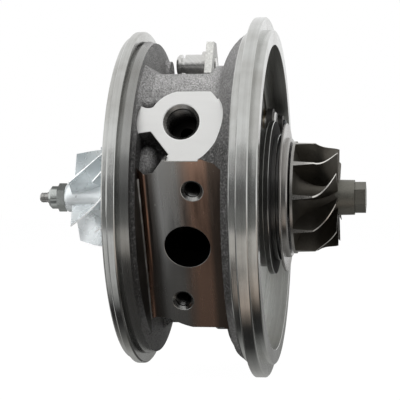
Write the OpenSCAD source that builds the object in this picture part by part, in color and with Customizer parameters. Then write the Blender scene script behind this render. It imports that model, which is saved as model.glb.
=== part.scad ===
// Turbo cartridge: a bearing housing with its rotor, bearings, seals and the nozzle lever.
// The shaft lies along X with the turbine at +X. The origin is on the shaft axis, in the
// plane where the turbine casing meets the turbine rim.

/* [Turbine flange] */
// Radius of the clamped turbine rim
rim_r = 57; // [55:0.1:59]
// Width of the turbine rim
rim_w = 3.7; // [3:0.1:4.5]
// Radius of the spigot that centres the turbine casing
spigot_r = 53; // [51.5:0.1:54.5]
// Length of the spigot beyond the rim
spigot_l = 2.3; // [1.5:0.1:3.2]
// Radius of the nozzle cavity
cavity_r = 48.3; // [46.5:0.1:50]
// Depth of the nozzle cavity behind the rim face
cavity_d = 4.7; // [4:0.1:5.5]
// Radius of the land behind the turbine rim
land_r = 52.3; // [50.5:0.1:54]
// Width of the land behind the turbine rim
land_w = 2.7; // [2:0.1:3.5]
// Axial length of the bell between the land and the collar
bell_w = 6.2; // [4.5:0.1:7]
// Radius of the collar where the bell meets the middle body
collar_r = 42; // [40:0.1:45]
// Width of the collar
collar_w = 3.6; // [2:0.1:5]

/* [Turbine nose] */
// Radius of the nose neck inside the nozzle cavity
neck_r = 22; // [20.5:0.1:23.5]
// Radius of the ring on the nose
nose_ring_r = 24.4; // [23.6:0.1:26]
// Width of the ring on the nose
nose_ring_w = 1.75; // [1.2:0.05:2.4]
// Distance from the rim face to the outer face of the nose ring
nose_ring_x = 2.25; // [1.6:0.05:2.6]
// Radius of the seat under the heat shield
shield_seat_r = 20; // [19.4:0.1:21]
// Distance from the rim face to the seat under the heat shield
shield_seat_x = 5.2; // [4.4:0.1:5.8]

/* [Compressor flange] */
// Distance between the outer faces of the two rims
flange_span = 41.65; // [40:0.05:44]
// Radius of the compressor rim
flange_r = 53.1; // [51.5:0.1:55]
// Width of the compressor rim
flange_w = 2.65; // [2:0.05:3.4]
// Radius of the pilot in front of the compressor rim
pilot_r = 51.6; // [50:0.1:52.6]
// Length of the pilot in front of the compressor rim
pilot_l = 1.75; // [1.2:0.05:2.4]
// Radius of the land behind the compressor rim
flange_land_r = 50; // [48:0.1:51]
// Width of the land behind the compressor rim
flange_land_w = 3.3; // [2.5:0.1:4]

/* [Middle body] */
// Radius of the casting round the oil faces
body_r = 44.6; // [43:0.1:46.5]
// Height of the flat top of the casting above the shaft axis
body_top = 37.6; // [36:0.1:40]
// Depth of the flat underside of the casting below the shaft axis
body_bottom = 40.2; // [39:0.1:42]
// Distance from the shaft axis to the back of the casting
body_back = 26; // [24:0.5:28]

/* [Oil drain] */
// Angle of the drain face below the horizontal
drain_tilt = 27; // [22:1:32]
// Distance from the shaft axis to the drain face
drain_d = 33; // [32:0.1:35]
// Distance from the rim face to the drain bore
drain_x = 21.6; // [20.8:0.1:22.4]
// Radius of the drain bore
drain_r = 7; // [6:0.1:7.6]
// Pitch circle of the two drain bolts
drain_pcd = 38; // [36:0.1:40]
// Turn of the drain bolts out of the upright
drain_turn = 8.3; // [0:0.1:12]
// Tapping radius of the drain bolts
drain_tap_r = 2.5; // [2:0.1:3]

/* [Oil inlet] */
// Angle of the inlet pad above the horizontal
inlet_tilt = 16.5; // [14:0.5:20]
// Distance from the shaft axis to the inlet pad
inlet_d = 43.6; // [43:0.1:45]
// Offset of the inlet thread from the shaft axis, up along the pad
inlet_up = 10.2; // [9.5:0.1:11]
// Distance from the rim face to the inlet thread
inlet_x = 21.85; // [21.2:0.05:22.4]
// Tapping radius of the inlet thread
inlet_r = 4.6; // [4:0.1:5]
// Radius of the pad round the inlet thread
pad_r = 12.7; // [12:0.1:13.4]

/* [Bearings and shaft] */
// Radius of the shaft in the journal bearings
journal_r = 3; // [2.8:0.05:3.3]
// Radius of the thin end of the shaft, through the compressor wheel
stub_r = 2.25; // [2:0.05:2.5]
// Outer radius of the floating journal bearings
bearing_r = 5.5; // [5.2:0.05:5.8]
// Length of each journal bearing
bearing_l = 6.5; // [5.5:0.1:7]
// Distance from the rim face to the turbine end of the turbine journal bearing
bearing_x = 2.9; // [2.7:0.1:3.2]
// Length of the plain tip of the shaft beyond its thread
tip_l = 2.6; // [2:0.1:4]
// Running clearance between a journal bearing and the shaft
journal_gap = 0.03; // [0.02:0.01:0.06]
// Running clearance between a journal bearing and the housing
bearing_gap = 0.05; // [0.03:0.01:0.08]

/* [Thrust bearing and seal plate] */
// Radius of the seal plate
seal_plate_r = 21; // [20.4:0.1:22]
// Thickness of the seal plate
seal_plate_t = 4.5; // [4:0.1:5]
// Radius of the thrust bearing
thrust_r = 15; // [14:0.1:15.4]
// Thickness of the thrust bearing
thrust_t = 3; // [2.5:0.1:3.5]
// Radius of the thrust faces of the collar and the sleeve
collar_disc_r = 8.5; // [7.5:0.1:9]
// Radius of the seal sleeve
sleeve_r = 5.1; // [4.8:0.05:5.4]
// Radius of the turbine shaft boss in the nose
boss_r = 5.9; // [5.6:0.05:6.2]

/* [Turbine wheel] */
// Radius of the turbine blade tips where the gas enters
turbine_r = 17.8; // [17:0.1:18.4]
// Radius of the turbine blade tips where the gas leaves
turbine_out_r = 15.4; // [14.6:0.1:16]
// Number of turbine blades
turbine_blades = 10; // [8:1:12]
// Distance from the rim face to the back of the turbine wheel
turbine_x = 8.1; // [7.9:0.1:8.6]
// Axial length of the turbine blades
turbine_l = 14; // [13:0.1:15]
// Width of the blade tips where the gas enters
turbine_in_w = 7; // [6:0.1:7.6]
// Turn of the turbine blades towards the outlet
turbine_wrap = 28; // [20:1:34]
// Radius of the turbine hub at the outlet
turbine_hub_r = 5.5; // [5.2:0.1:6]
// Width across the corners of the hexagon on the hub
hub_hex_w = 9.8; // [9:0.1:10.4]

/* [Compressor wheel] */
// Radius of the compressor blade tips at the inlet
inducer_r = 14.3; // [13.5:0.05:14.8]
// Radius of the compressor wheel at the outlet
exducer_r = 20; // [19:0.1:20.2]
// Number of full compressor blades, each with one splitter blade
compressor_blades = 6; // [5:1:7]
// Axial length of the full blades at the tips
compressor_l = 18.9; // [17.5:0.1:20]
// Width of the blade tips at the outlet
exducer_w = 2.8; // [2:0.1:3.5]
// Turn of the compressor blades from inlet to outlet
compressor_wrap = 55; // [42:1:60]
// Radius of the nose of the compressor wheel
nose_r = 4.9; // [4.5:0.1:5.3]
// Length of the nose ahead of the blade tips
nose_l = 3.8; // [3:0.1:4.5]

/* [Nozzle lever] */
// Distance of the lever pivot behind the shaft axis
pivot_y = 27; // [26:0.5:28]
// Height of the lever pivot above the shaft axis
pivot_z = 25; // [24:0.5:26]
// Length of the lever from its pivot to its pin
lever_l = 22.2; // [21:0.1:23]
// Angle of the lever from straight back, turning upwards
lever_angle = 122.7; // [118:0.5:128]
// Thickness of the lever
lever_t = 2.6; // [2.2:0.1:3]
// Distance from the rim face to the turbine side of the lever
lever_x = 19.6; // [19.2:0.1:20]
// Radius of the lever pin
lever_pin_r = 3.65; // [3:0.05:4]
// Distance between the end of the lever pin and the compressor flange
pin_clear = 3.5; // [3.2:0.1:5]
// Radius of the lever spindle
spindle_r = 3; // [2.6:0.1:3.4]
// Running clearance of the spindle in its bush
spindle_gap = 0.04; // [0.02:0.01:0.08]
// Length of the inner crank from the spindle to its roller
crank_l = 8; // [7:0.1:8.4]
// Radius of the roller on the inner crank
roller_r = 3.1; // [2.6:0.1:3.3]

/* [Hidden] */
$fn = 96;

// Clearances
fit = 0.02;
face_gap = 0.5;
ring_side_gap = 0.1;
thrust_gap = 0.05;
seal_gap = 0.35;
edge = 0.4;
overlap = 1;
link_inset = 0.15;

// Stations along X on the turbine side
land_x0 = -rim_w - land_w;
bell_x0 = land_x0 - bell_w;
collar_x0 = bell_x0 - collar_w;
floor_x = -cavity_d;
floor_step = 0.6;
floor_step_r = cavity_r - 6.8;
bell_bow = 1.3;
seat_lip_w = 0.5;
seat_groove_w = 0.9;
seat_groove_d = 1.6;
nose_bore_r = boss_r + seal_gap;

// Stations along X on the compressor side
rim_face = -flange_span;
pilot_face = rim_face - pilot_l;
flange_back = rim_face + flange_w;
flange_inner = flange_back + flange_land_w;
undercut_w = 0.9;
undercut_d = 1.1;
flange_taper = 1.6;
flange_taper_r = flange_land_r - 10;
land_draft = 0.7;
wall_bite = 0.2;
body_x0 = flange_inner - overlap;
body_x1 = bell_x0 + overlap;
drain_x0 = flange_inner + flange_taper - wall_bite;
drain_x1 = bell_x0 + 3.9;

// Stations along X of the compressor wheel, the seal plate and the thrust parts
disc_t = 1;
wheel_back = pilot_face + disc_t;
hub_back_l = 1;
plate_x0 = wheel_back + face_gap;
plate_x1 = plate_x0 + seal_plate_t;
plate_rim_l = 2.1;
plate_rim_t = 2.5;
deflector_t = 0.8;
deflector_x0 = plate_x1 + plate_rim_l;
thrust_x0 = deflector_x0 + deflector_t;
thrust_x1 = thrust_x0 + thrust_t;
collar_disc_t = 1.85;
collar_x1 = thrust_x1 + thrust_gap + collar_disc_t;
collar_pocket_x = collar_x1 + face_gap;
collar_pocket_gap = 0.7;
collar_pocket_r = collar_disc_r + collar_pocket_gap;
collar_tube_r = 4.4;
thrust_bore_r = collar_tube_r + seal_gap;
sleeve_x0 = wheel_back + hub_back_l;
sleeve_x1 = thrust_x0 - thrust_gap;
flinger_t = 1.9;
plate_bore_r = sleeve_r + seal_gap;
o_ring_r = 0.7;
o_ring_x = (plate_x0 + plate_x1) / 2;
plate_screw_inset = 3.4;
plate_screw_ring = seal_plate_r - plate_screw_inset;
plate_screw_r = 1.5;
plate_screw_l = 10;
plate_screw_head_r = 2.7;
plate_socket_r = 1.05;
plate_screws = 3;

// Seal rings
ring_w = 1.1;
ring_t = 0.95;
groove_w = ring_w + 2 * ring_side_gap;
groove_d = 0.9;
compressor_ring_x = (plate_x0 + plate_x1) / 2;
turbine_ring_x = shield_seat_x - 2.5;
ring_slit = 0.6;

// Journal bearings, their bore and their circlips
housing_bore_r = bearing_r + bearing_gap;
turbine_bearing_x1 = -bearing_x;
turbine_bearing_x0 = turbine_bearing_x1 - bearing_l;
bearing_wall = 1.1;
compressor_bearing_x0 = collar_pocket_x + bearing_wall;
compressor_bearing_x1 = compressor_bearing_x0 + bearing_l;
circlip_w = 0.6;
circlip_gap = 0.2;
circlip_groove = 0.65;
circlip_in = 0.85;
circlip_slit = 3;
circlip_x = [
    turbine_bearing_x1 + circlip_gap, turbine_bearing_x0 - circlip_gap - circlip_w,
    compressor_bearing_x1 + circlip_gap
];
oil_holes = 6;
oil_hole_r = 0.7;

// Oil passages of the housing
chamber_wall = 9;
chamber_r = drain_d - chamber_wall;
carrier_r = 10;
chamber_x0 = compressor_bearing_x0 + overlap;
chamber_x1 = floor_x - chamber_wall / 2;
chamber_from = -105;
chamber_sweep = 145;
drain_neck_l = 11;
drain_neck_d = drain_d - drain_neck_l;
drain_pocket_w = 2;
drain_pocket_r = drain_r + drain_pocket_w;
drain_tap_l = 12;
tap_chamfer = 0.85;
inlet_tap_l = 12;
inlet_chamfer = 1;
inlet_feed_r = 2.2;
gallery_r = 1.6;
feed_r = 1;
compressor_feed_x = compressor_bearing_x0 + bearing_l / 2 + feed_r;
turbine_feed_x = turbine_bearing_x1 - bearing_l / 2 - feed_r;
slot_w = 10;

// Shapes of the middle body
upper_back_angle = 39;
upper_back_d = body_back - 1;
lower_back_angle = -40;
lower_back_d = body_back + 5;
near_d = 60;
blend = 3.2;
blend_l = 4.5;
blend_in = bell_w / 2;
thin_scale = 0.98;
thin_slice = 0.2;
corner_rise = 3.9;
corner_knee = [5.5, 3];
corner_l = 12.5;
corner_bow = 0.3;
corner_depth = 15;
drain_half_l = 28.4;
drain_top = 29.4;
drain_fillet = 2.5;
fillet_sag = drain_fillet * (1 - cos(45));
relief_d = 8;
relief_up = 0.5;
pad_top = 9.6;
pad_bottom = 12.9;
pad_foot_angle = 66;
pad_depth = 16;
pad_steps = 24;
pad_crown_x = -1.7;
pad_neck = [-8.7, 4.8];
pad_bow = 0.9;
neck_bow = 0.4;
lug_tip = [-12, 5];
lug_toe = [-12.4, -3.6];
lug_bow = 0.75;
lug_heel = [-9.35, -3.1];
pad_waist = [-3.6, -10.3];
pad_foot_x = -4.4;
cut_height = 30;
recess_bite = 0.2;
recess_left = drain_x0 + inlet_x - recess_bite / 2;
recess_d = 7.5;
recess_toe = [-8.2, -14.8];
recess_tip = [-10.9, -15.3];
cast_bump_r = 4.6;
cast_bump_y = 10;
cast_bump_z = body_top + 2.4;
cast_bump_l = 2.5;
cast_bump_x = flange_inner + cast_bump_l;

// Turbine and compressor wheels
turbine_end = turbine_x + turbine_l;
turbine_disc_t = 0.8;
turbine_hub_l = 5;
turbine_hex_l = 3.5;
weld_x = -0.5;
weld_r = 4.4;
weld_l = 1.1;
inducer_x = wheel_back - disc_t - compressor_l;
nose_x = inducer_x - nose_l;
blade_rows = 9;
blade_steps = 4;
blade_sink = 0.5;
blade_inset = 0.15;
splitter_start = 0.5;
turbine_bend_start = 0.46;
turbine_tip_power = 2.2;
compressor_phase = 20;
shroud_power = 1.42;
hub_lead = 1.2;
blade_t_hub = 1.7;
blade_t_tip = 0.5;
vane_t_hub = 1.1;
vane_t_tip = 0.55;

// Nut and the threaded end of the shaft
nut_hex_r = 4.62;
nut_hex_l = 2.6;
nut_collar_r = 3.7;
nut_collar_l = 3;
thread_r = 1.8;
thread_run_in = 1.2;
thread_run_out = 0.7;
thread_start = nose_x + thread_run_in;
thread_end = nose_x - nut_hex_l - nut_collar_l - thread_run_out;
tip_r = 1.52;

// Heat shield
shield_t = 0.8;
brim_w = 3.5;
brim_r = shield_seat_r + brim_w;
crown_inset = 1;
crown_r = shield_seat_r - crown_inset;
crown_h = 2.2;
crown_hole_gap = 2.1;
crown_hole_r = boss_r + crown_hole_gap;

// Lever parts
lever_x1 = -lever_x;
lever_x0 = lever_x1 - lever_t;
lever_hub_r = 9;
lever_hub_far = 13;
lever_hub_near = 222;
lever_top = 7.6;
lever_top_w = 5;
lever_far = [10.5, -4];
lever_near = [-8.6, -3.2];
lever_boss_r = 8.5;
bush_t = 2;
bush_flange_t = 0.8;
bush_flange_w = 1.6;
bush_flange_r = spindle_r + spindle_gap + bush_t + bush_flange_w;
lever_side_gap = 0.6;
bush_x0 = lever_x1 + lever_side_gap;
lever_boss_x0 = bush_x0 + bush_flange_t;
rivet_l = 0.9;
rivet_w = 1;
rivet_r = spindle_r + rivet_w;
pin_collar_l = 1.4;
pin_collar_w = 1;
pin_collar_r = lever_pin_r + pin_collar_w;
pin_groove_in = 1.7;
pin_groove_w = 1.2;
pin_groove_d = 1.1;
pin_tail_r = 2.6;
crank_t = 2.2;
crank_x0 = floor_x + floor_step + face_gap;
crank_x1 = crank_x0 + crank_t;
crank_hub_r = 5;
crank_end_r = 3.2;
crank_pin_r = 1.6;
roller_l = 2.2;
roller_side_gap = 0.15;
roller_x0 = crank_x1 + roller_side_gap;
pin_end_l = 1;

iron = "#8b8d8c";
steel = "#b4b6b8";
dark_steel = "#5b5753";
aluminium = "#dfe4e8";
bronze = "#b08d57";
rubber = "#202020";

// Points of a circular arc from p to q that bows out by sag to the right of its direction
function bow(p, q, sag, steps = 6) =
    let (half = norm(q - p) / 2)
    let (radius = (half * half + sag * sag) / (2 * sag))
    let (along = (q - p) / (2 * half))
    let (side = [along[1], -along[0]])
    let (centre = (p + q) / 2 - side * (radius - sag))
    let (span = asin(half / radius))
    [for (i = [0:steps])
        let (a = span * (2 * i / steps - 1))
        centre + radius * (along * sin(a) + side * cos(a))];

// Point where two lines cross, each given as [angle of its normal, distance from the axis]
function meet(a, b) =
    let (turn = sin(b[0] - a[0]))
    [(a[1] * sin(b[0]) - b[1] * sin(a[0])) / turn, (b[1] * cos(a[0]) - a[1] * cos(b[0])) / turn];

// Point at station x, radius r and angle phi, which turns from the front upwards
function polar(x, r, phi) = [x, -r * cos(phi), r * sin(phi)];

// Solid of revolution about the shaft axis, from a profile of [x, r] points
module turned(profile, sweep = 360) {
    rotate([0, 90, 0])
        rotate_extrude(angle = sweep)
            polygon([for (p = profile) [p[1], p[0]]]);
}

// Cylinder or cone along X
module rod(x0, x1, r0, r1 = -1) {
    translate([x0, 0, 0])
        rotate([0, 90, 0])
            cylinder(h = x1 - x0, r1 = r0, r2 = r1 < 0 ? r0 : r1);
}

// Tube along X
module tube(x0, x1, inner, outer) {
    turned([[x0, inner], [x1, inner], [x1, outer], [x0, outer]]);
}

// Prism along X of an outline drawn in Y and Z
module prism(x0, x1) {
    translate([x0, 0, 0])
        rotate([90, 0, 90])
            linear_extrude(x1 - x0)
                children();
}

// Frame of an oil face: X stays, Y runs up along the face and Z points out of it
module on_face(x, tilt, distance, up = 0) {
    translate([x, 0, 0])
        rotate([90 - tilt, 0, 0])
            translate([0, up, distance])
                children();
}

// Tapped hole with a chamfer, going down from the origin
module tapped_hole(r, depth, chamfer) {
    translate([0, 0, -depth])
        cylinder(h = depth + overlap, r = r);
    translate([0, 0, -chamfer])
        cylinder(h = chamfer + fit, r1 = r, r2 = r + chamfer + fit);
}

// Link across X with a round end at each pivot, its sides just inside the tangents
module link(x0, x1, length, r0, r1, turn = 0) {
    lean = acos((r0 - r1) / length);
    from = (r0 - link_inset) * [cos(lean), sin(lean)];
    to = [length, 0] + (r1 - link_inset) * [cos(lean), sin(lean)];
    rotate([turn, 0, 0]) {
        rod(x0, x1, r0);
        translate([0, length, 0])
            rod(x0, x1, r1);
        prism(x0, x1)
            polygon([from, to, [to[0], -to[1]], [from[0], -from[1]]]);
    }
}

// Closed skin over rings of points, each ring running up one side of a blade and down the other
module blade_skin(rings) {
    count = len(rings[0]);
    half = count / 2;
    last = (len(rings) - 1) * count;
    sides = [
        for (i = [0:len(rings) - 2], j = [0:count - 1])
            let (a = i * count + j, b = i * count + (j + 1) % count)
            each [[a, a + count, b], [b, a + count, b + count]]
    ];
    first_cap = [
        for (j = [0:half - 2])
            let (a = j, b = j + 1, c = count - 1 - j, d = count - 2 - j)
            each [[a, b, c], [b, d, c]]
    ];
    last_cap = [for (f = first_cap) [f[0] + last, f[2] + last, f[1] + last]];
    polyhedron([for (ring = rings) each ring], concat(sides, first_cap, last_cap), convexity = 4);
}

// Ring of one blade section from its root [x, r] to its tip [x, r], turned as a function of x
function blade_ring(root, tip, turn, t_root, t_tip) =
    [for (j = [0:2 * blade_steps + 1])
        let (up = j <= blade_steps)
        let (f = (up ? j : 2 * blade_steps + 1 - j) / blade_steps)
        let (p = root + f * (tip - root))
        let (half = (t_root + f * (t_tip - t_root)) / 2 / p[1] * 180 / PI)
        polar(p[0], p[1], turn(p[0]) + (up ? half : -half))];

// Housing casting

// Outline of the middle body in Y and Z, grown by some distance
module body_outline(grow = 0) {
    sides = [
        [90, body_top + grow], [upper_back_angle, upper_back_d + grow], [0, body_back + grow],
        [lower_back_angle, lower_back_d + grow], [-90, body_bottom + grow]
    ];
    corners = [for (i = [0:len(sides) - 2]) meet(sides[i], sides[i + 1])];
    intersection() {
        circle(r = body_r + grow);
        polygon(concat([[-near_d, body_top + grow]], corners, [[-near_d, -body_bottom - grow]]));
    }
}

// Blend of the middle body into a flange, wide at x_wide
module body_blend(x_wide, x_thin) {
    hull() {
        prism(x_wide, x_wide + thin_slice)
            body_outline(blend);
        prism(x_thin, x_thin + thin_slice)
            scale(thin_scale)
                body_outline();
    }
}

// Outline of the inlet pad round its thread, with the lug on its left, grown by some distance
module pad_outline(grow = 0) {
    from = -pad_foot_angle;
    to = asin(pad_top / pad_r);
    points = concat(
        [for (i = [0:pad_steps]) let (a = from + (to - from) * i / pad_steps) pad_r * [cos(a), sin(a)]],
        bow([pad_crown_x, pad_top], pad_neck, pad_bow),
        bow(pad_neck, lug_tip, -neck_bow),
        bow(lug_tip, lug_toe, lug_bow),
        [lug_heel, pad_waist, [pad_foot_x, -pad_bottom], [pad_r * cos(pad_foot_angle), -pad_bottom]]
    );
    polygon([for (p = points) p * (1 + grow / norm(p))]);
}

module compressor_flange() {
    turned(concat(
        [[pilot_face, 0], [pilot_face, pilot_r - edge], [pilot_face + edge, pilot_r], [rim_face, pilot_r]],
        [[rim_face, flange_r - edge], [rim_face + edge, flange_r], [flange_back - edge, flange_r]],
        [[flange_back, flange_r - edge], [flange_back, flange_land_r - undercut_d]],
        [[flange_back + undercut_w, flange_land_r - undercut_d], [flange_back + undercut_w, flange_land_r]],
        [[flange_inner, flange_land_r - land_draft], [flange_inner + flange_taper, flange_taper_r]],
        [[flange_inner + flange_taper, 0]]
    ));
}

module turbine_flange() {
    turned(concat(
        [[collar_x0, 0], [collar_x0, collar_r - edge], [collar_x0 + edge, collar_r]],
        bow([bell_x0, collar_r], [land_x0, land_r - edge], -bell_bow),
        [[land_x0 + edge, land_r], [-rim_w, land_r], [-rim_w, rim_r - edge], [-rim_w + edge, rim_r]],
        [[-edge, rim_r], [0, rim_r - edge], [0, spigot_r], [spigot_l - edge, spigot_r]],
        [[spigot_l, spigot_r - edge], [spigot_l, cavity_r], [floor_x + floor_step, cavity_r]],
        [[floor_x + floor_step, floor_step_r], [floor_x, floor_step_r], [floor_x, neck_r]],
        [[nose_ring_x - nose_ring_w, neck_r], [nose_ring_x - nose_ring_w, nose_ring_r]],
        [[nose_ring_x, nose_ring_r], [nose_ring_x, shield_seat_r]],
        [[shield_seat_x - seat_lip_w - seat_groove_w, shield_seat_r]],
        [[shield_seat_x - seat_lip_w - seat_groove_w, shield_seat_r - seat_groove_d]],
        [[shield_seat_x - seat_lip_w, shield_seat_r - seat_groove_d]],
        [[shield_seat_x - seat_lip_w, shield_seat_r], [shield_seat_x, shield_seat_r], [shield_seat_x, 0]]
    ));
}

module casting() {
    compressor_flange();
    turbine_flange();
    prism(body_x0, body_x1)
        body_outline();
    body_blend(flange_inner - thin_slice, flange_inner + blend_l);
    intersection() {
        body_blend(bell_x0 + blend_in, bell_x0 - blend_l);
        prism(bell_x0 - blend_l - overlap, bell_x0 + blend_in + overlap)
            translate([-near_d, edge - body_bottom])
                square(2 * near_d);
    }
    on_face(-inlet_x, inlet_tilt, inlet_d - pad_depth, inlet_up)
        linear_extrude(pad_depth)
            pad_outline();
    translate([0, pivot_y, pivot_z])
        rod(lever_boss_x0, floor_x - overlap, lever_boss_r);
    translate([0, cast_bump_y, cast_bump_z])
        rod(body_x0, cast_bump_x, cast_bump_r);
}

// Cuts of the two milled oil faces
module oil_face_cuts() {
    width = drain_x1 - drain_x0;
    on_face(drain_x0, -drain_tilt, drain_d, drain_top)
        rotate([90, 0, 0])
            linear_extrude(drain_top + 2 * drain_half_l)
                polygon(concat(
                    [[width, 0], [width, cut_height], [0, cut_height]],
                    bow([0, drain_fillet], [drain_fillet, 0], fillet_sag)
                ));
    on_face(bell_x0, -drain_tilt, drain_d - relief_d, -2 * drain_half_l - relief_up)
        cube([drain_x1 - bell_x0 + wall_bite, drain_half_l, cut_height]);
    on_face(drain_x0, -drain_tilt, drain_d - corner_depth, -drain_half_l)
        linear_extrude(cut_height)
            polygon(concat(
                [[corner_l, -corner_depth], [0, -corner_depth], [0, corner_rise]],
                bow(corner_knee, [corner_l, 0], corner_bow)
            ));
    on_face(-inlet_x, inlet_tilt, inlet_d, inlet_up) {
        linear_extrude(cut_height)
            pad_outline(edge);
        translate([0, 0, -recess_d])
            linear_extrude(cut_height)
                polygon([
                    [recess_left, lug_toe[1] + recess_bite], lug_heel + recess_bite * [1, 1],
                    pad_waist + recess_bite * [1, 1], recess_toe,
                    recess_tip, [recess_left, recess_tip[1] + 1]
                ]);
    }
}

// Oil passages from the inlet to the bearings and down to the drain
module oil_passages() {
    rotate([0, 90, 0])
        rotate([0, 0, chamber_from])
            rotate_extrude(angle = chamber_sweep)
                translate([carrier_r, chamber_x0])
                    square([chamber_r - carrier_r, chamber_x1 - chamber_x0]);
    on_face(-drain_x, -drain_tilt, 0) {
        translate([0, 0, carrier_r])
            cylinder(h = drain_neck_d - carrier_r, r = drain_pocket_r);
        translate([0, 0, carrier_r])
            cylinder(h = cut_height, r = drain_r);
        translate([thrust_x1 - overlap + drain_x, -slot_w / 2, collar_pocket_r])
            cube([chamber_x0 - thrust_x1 + 2 * overlap, slot_w, thrust_r - collar_pocket_r - edge]);
        translate([0, 0, drain_d])
            rotate(-drain_turn)
                for (side = [-1, 1])
                    translate([0, side * drain_pcd / 2, 0])
                        tapped_hole(drain_tap_r, drain_tap_l, tap_chamfer);
    }
    on_face(-inlet_x, inlet_tilt, inlet_d, inlet_up) {
        tapped_hole(inlet_r, inlet_tap_l, inlet_chamfer);
        translate([0, 0, -inlet_d])
            cylinder(h = inlet_d, r = inlet_feed_r);
    }
    rotate([-inlet_tilt, 0, 0]) {
        translate([0, 0, inlet_up])
            rod(compressor_bearing_x0 + bearing_l / 2, turbine_bearing_x1 - bearing_l / 2, gallery_r);
        for (x = [compressor_feed_x, turbine_feed_x])
            translate([x, 0, 0])
                cylinder(h = inlet_up, r = feed_r);
    }
}

// Bores along the shaft axis
module shaft_bores() {
    rod(pilot_face - overlap, plate_x1, seal_plate_r);
    rod(plate_x1 - overlap, thrust_x1, thrust_r);
    rod(thrust_x1 - overlap, collar_pocket_x, collar_pocket_r);
    rod(collar_pocket_x - overlap, overlap, housing_bore_r);
    rod(weld_x - weld_l, shield_seat_x + overlap, nose_bore_r);
    for (x = circlip_x)
        rod(x, x + circlip_w, housing_bore_r + circlip_groove);
    for (i = [0:plate_screws - 1])
        rotate([360 / plate_screws * i, 0, 0])
            translate([0, 0, plate_screw_ring])
                rod(plate_x1 - overlap, plate_x0 + plate_screw_l, plate_screw_r);
}

module bearing_housing() {
    color(iron)
        difference() {
            casting();
            oil_face_cuts();
            oil_passages();
            shaft_bores();
            translate([0, pivot_y, pivot_z])
                rod(lever_boss_x0 - overlap, overlap, spindle_r + spindle_gap + bush_t);
        }
}

// Fixed pieces in the housing

module seal_plate() {
    color(steel)
        difference() {
            turned([
                [plate_x0, plate_bore_r], [plate_x0, seal_plate_r - fit],
                [o_ring_x - o_ring_r, seal_plate_r - fit], [o_ring_x - o_ring_r, seal_plate_r - 2 * o_ring_r],
                [o_ring_x + o_ring_r, seal_plate_r - 2 * o_ring_r], [o_ring_x + o_ring_r, seal_plate_r - fit],
                [plate_x1, seal_plate_r - fit], [plate_x1, thrust_r - fit], [deflector_x0, thrust_r - fit],
                [deflector_x0, thrust_r - plate_rim_t], [plate_x1, thrust_r - plate_rim_t],
                [plate_x1, plate_bore_r]
            ]);
            for (i = [0:plate_screws - 1])
                rotate([360 / plate_screws * i, 0, 0])
                    translate([0, 0, plate_screw_ring])
                        plate_screw(fit);
        }
}

// One countersunk screw of the seal plate, grown by some distance
module plate_screw(grow = 0) {
    head_l = plate_screw_head_r - plate_screw_r;
    rod(plate_x0 - grow, plate_x0 + head_l, plate_screw_head_r + 2 * grow, plate_screw_r + grow);
    rod(plate_x0, plate_x0 + plate_screw_l - edge, plate_screw_r + grow - fit);
}

module seal_plate_screws() {
    color(dark_steel)
        for (i = [0:plate_screws - 1])
            rotate([360 / plate_screws * i, 0, 0])
                translate([0, 0, plate_screw_ring])
                    difference() {
                        plate_screw();
                        rod(plate_x0 - overlap, plate_x0 + overlap, plate_socket_r, $fn = 6);
                    }
}

module seal_plate_o_ring() {
    color(rubber)
        translate([o_ring_x, 0, 0])
            rotate([0, 90, 0])
                rotate_extrude()
                    translate([seal_plate_r - o_ring_r, 0])
                        circle(r = o_ring_r - fit);
}

// Split ring between two radii, centred at x
module split_ring(x, width, inner, outer, slit) {
    difference() {
        tube(x - width / 2, x + width / 2, inner, outer);
        translate([x - width, -slit / 2, inner - overlap])
            cube([2 * width, slit, outer]);
    }
}

module compressor_seal_ring() {
    color(dark_steel)
        split_ring(compressor_ring_x, ring_w, plate_bore_r - ring_t, plate_bore_r - fit, ring_slit);
}

module turbine_seal_ring() {
    color(dark_steel)
        split_ring(turbine_ring_x, ring_w, nose_bore_r - ring_t, nose_bore_r - fit, ring_slit);
}

module oil_deflector() {
    color(steel)
        difference() {
            tube(deflector_x0, thrust_x0, collar_pocket_r, thrust_r - fit);
            on_face(deflector_x0 - overlap, -drain_tilt, collar_disc_r)
                translate([0, -slot_w / 2, 0])
                    cube([3 * overlap, slot_w, thrust_r]);
        }
}

module thrust_bearing() {
    pads = 3;
    pad_turn = 180 / pads;
    color(bronze)
        difference() {
            tube(thrust_x0, thrust_x1, thrust_bore_r, thrust_r - fit);
            on_face(thrust_x0 - overlap, -drain_tilt, collar_disc_r + edge)
                translate([0, -slot_w / 2, 0])
                    cube([thrust_t + 2 * overlap, slot_w, thrust_r]);
            for (i = [0:pads - 1])
                rotate([360 / pads * i + pad_turn, 0, 0])
                    translate([thrust_x0 - edge, -oil_hole_r, 0])
                        cube([2 * edge, 2 * oil_hole_r, collar_disc_r]);
        }
}

module bearing_circlips() {
    color(dark_steel)
        for (x = circlip_x)
            split_ring(
                x + circlip_w / 2, circlip_w - 2 * fit, housing_bore_r - circlip_in,
                housing_bore_r + circlip_groove - fit, circlip_slit
            );
}

module heat_shield() {
    color(steel)
        turned([
            [shield_seat_x, crown_r - shield_t], [shield_seat_x, brim_r - edge / 2],
            [shield_seat_x + edge / 2, brim_r], [shield_seat_x + shield_t - edge / 2, brim_r],
            [shield_seat_x + shield_t, brim_r - edge / 2], [shield_seat_x + shield_t, crown_r],
            [shield_seat_x + crown_h - edge, crown_r], [shield_seat_x + crown_h, crown_r - edge],
            [shield_seat_x + crown_h, crown_hole_r], [shield_seat_x + crown_h - shield_t, crown_hole_r],
            [shield_seat_x + crown_h - shield_t, crown_r - shield_t]
        ]);
}

module lever_bush() {
    inner = spindle_r + spindle_gap;
    color(bronze)
        translate([0, pivot_y, pivot_z])
            turned([
                [bush_x0, inner], [bush_x0, bush_flange_r], [lever_boss_x0, bush_flange_r],
                [lever_boss_x0, inner + bush_t - fit], [floor_x, inner + bush_t - fit], [floor_x, inner]
            ]);
}

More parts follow.
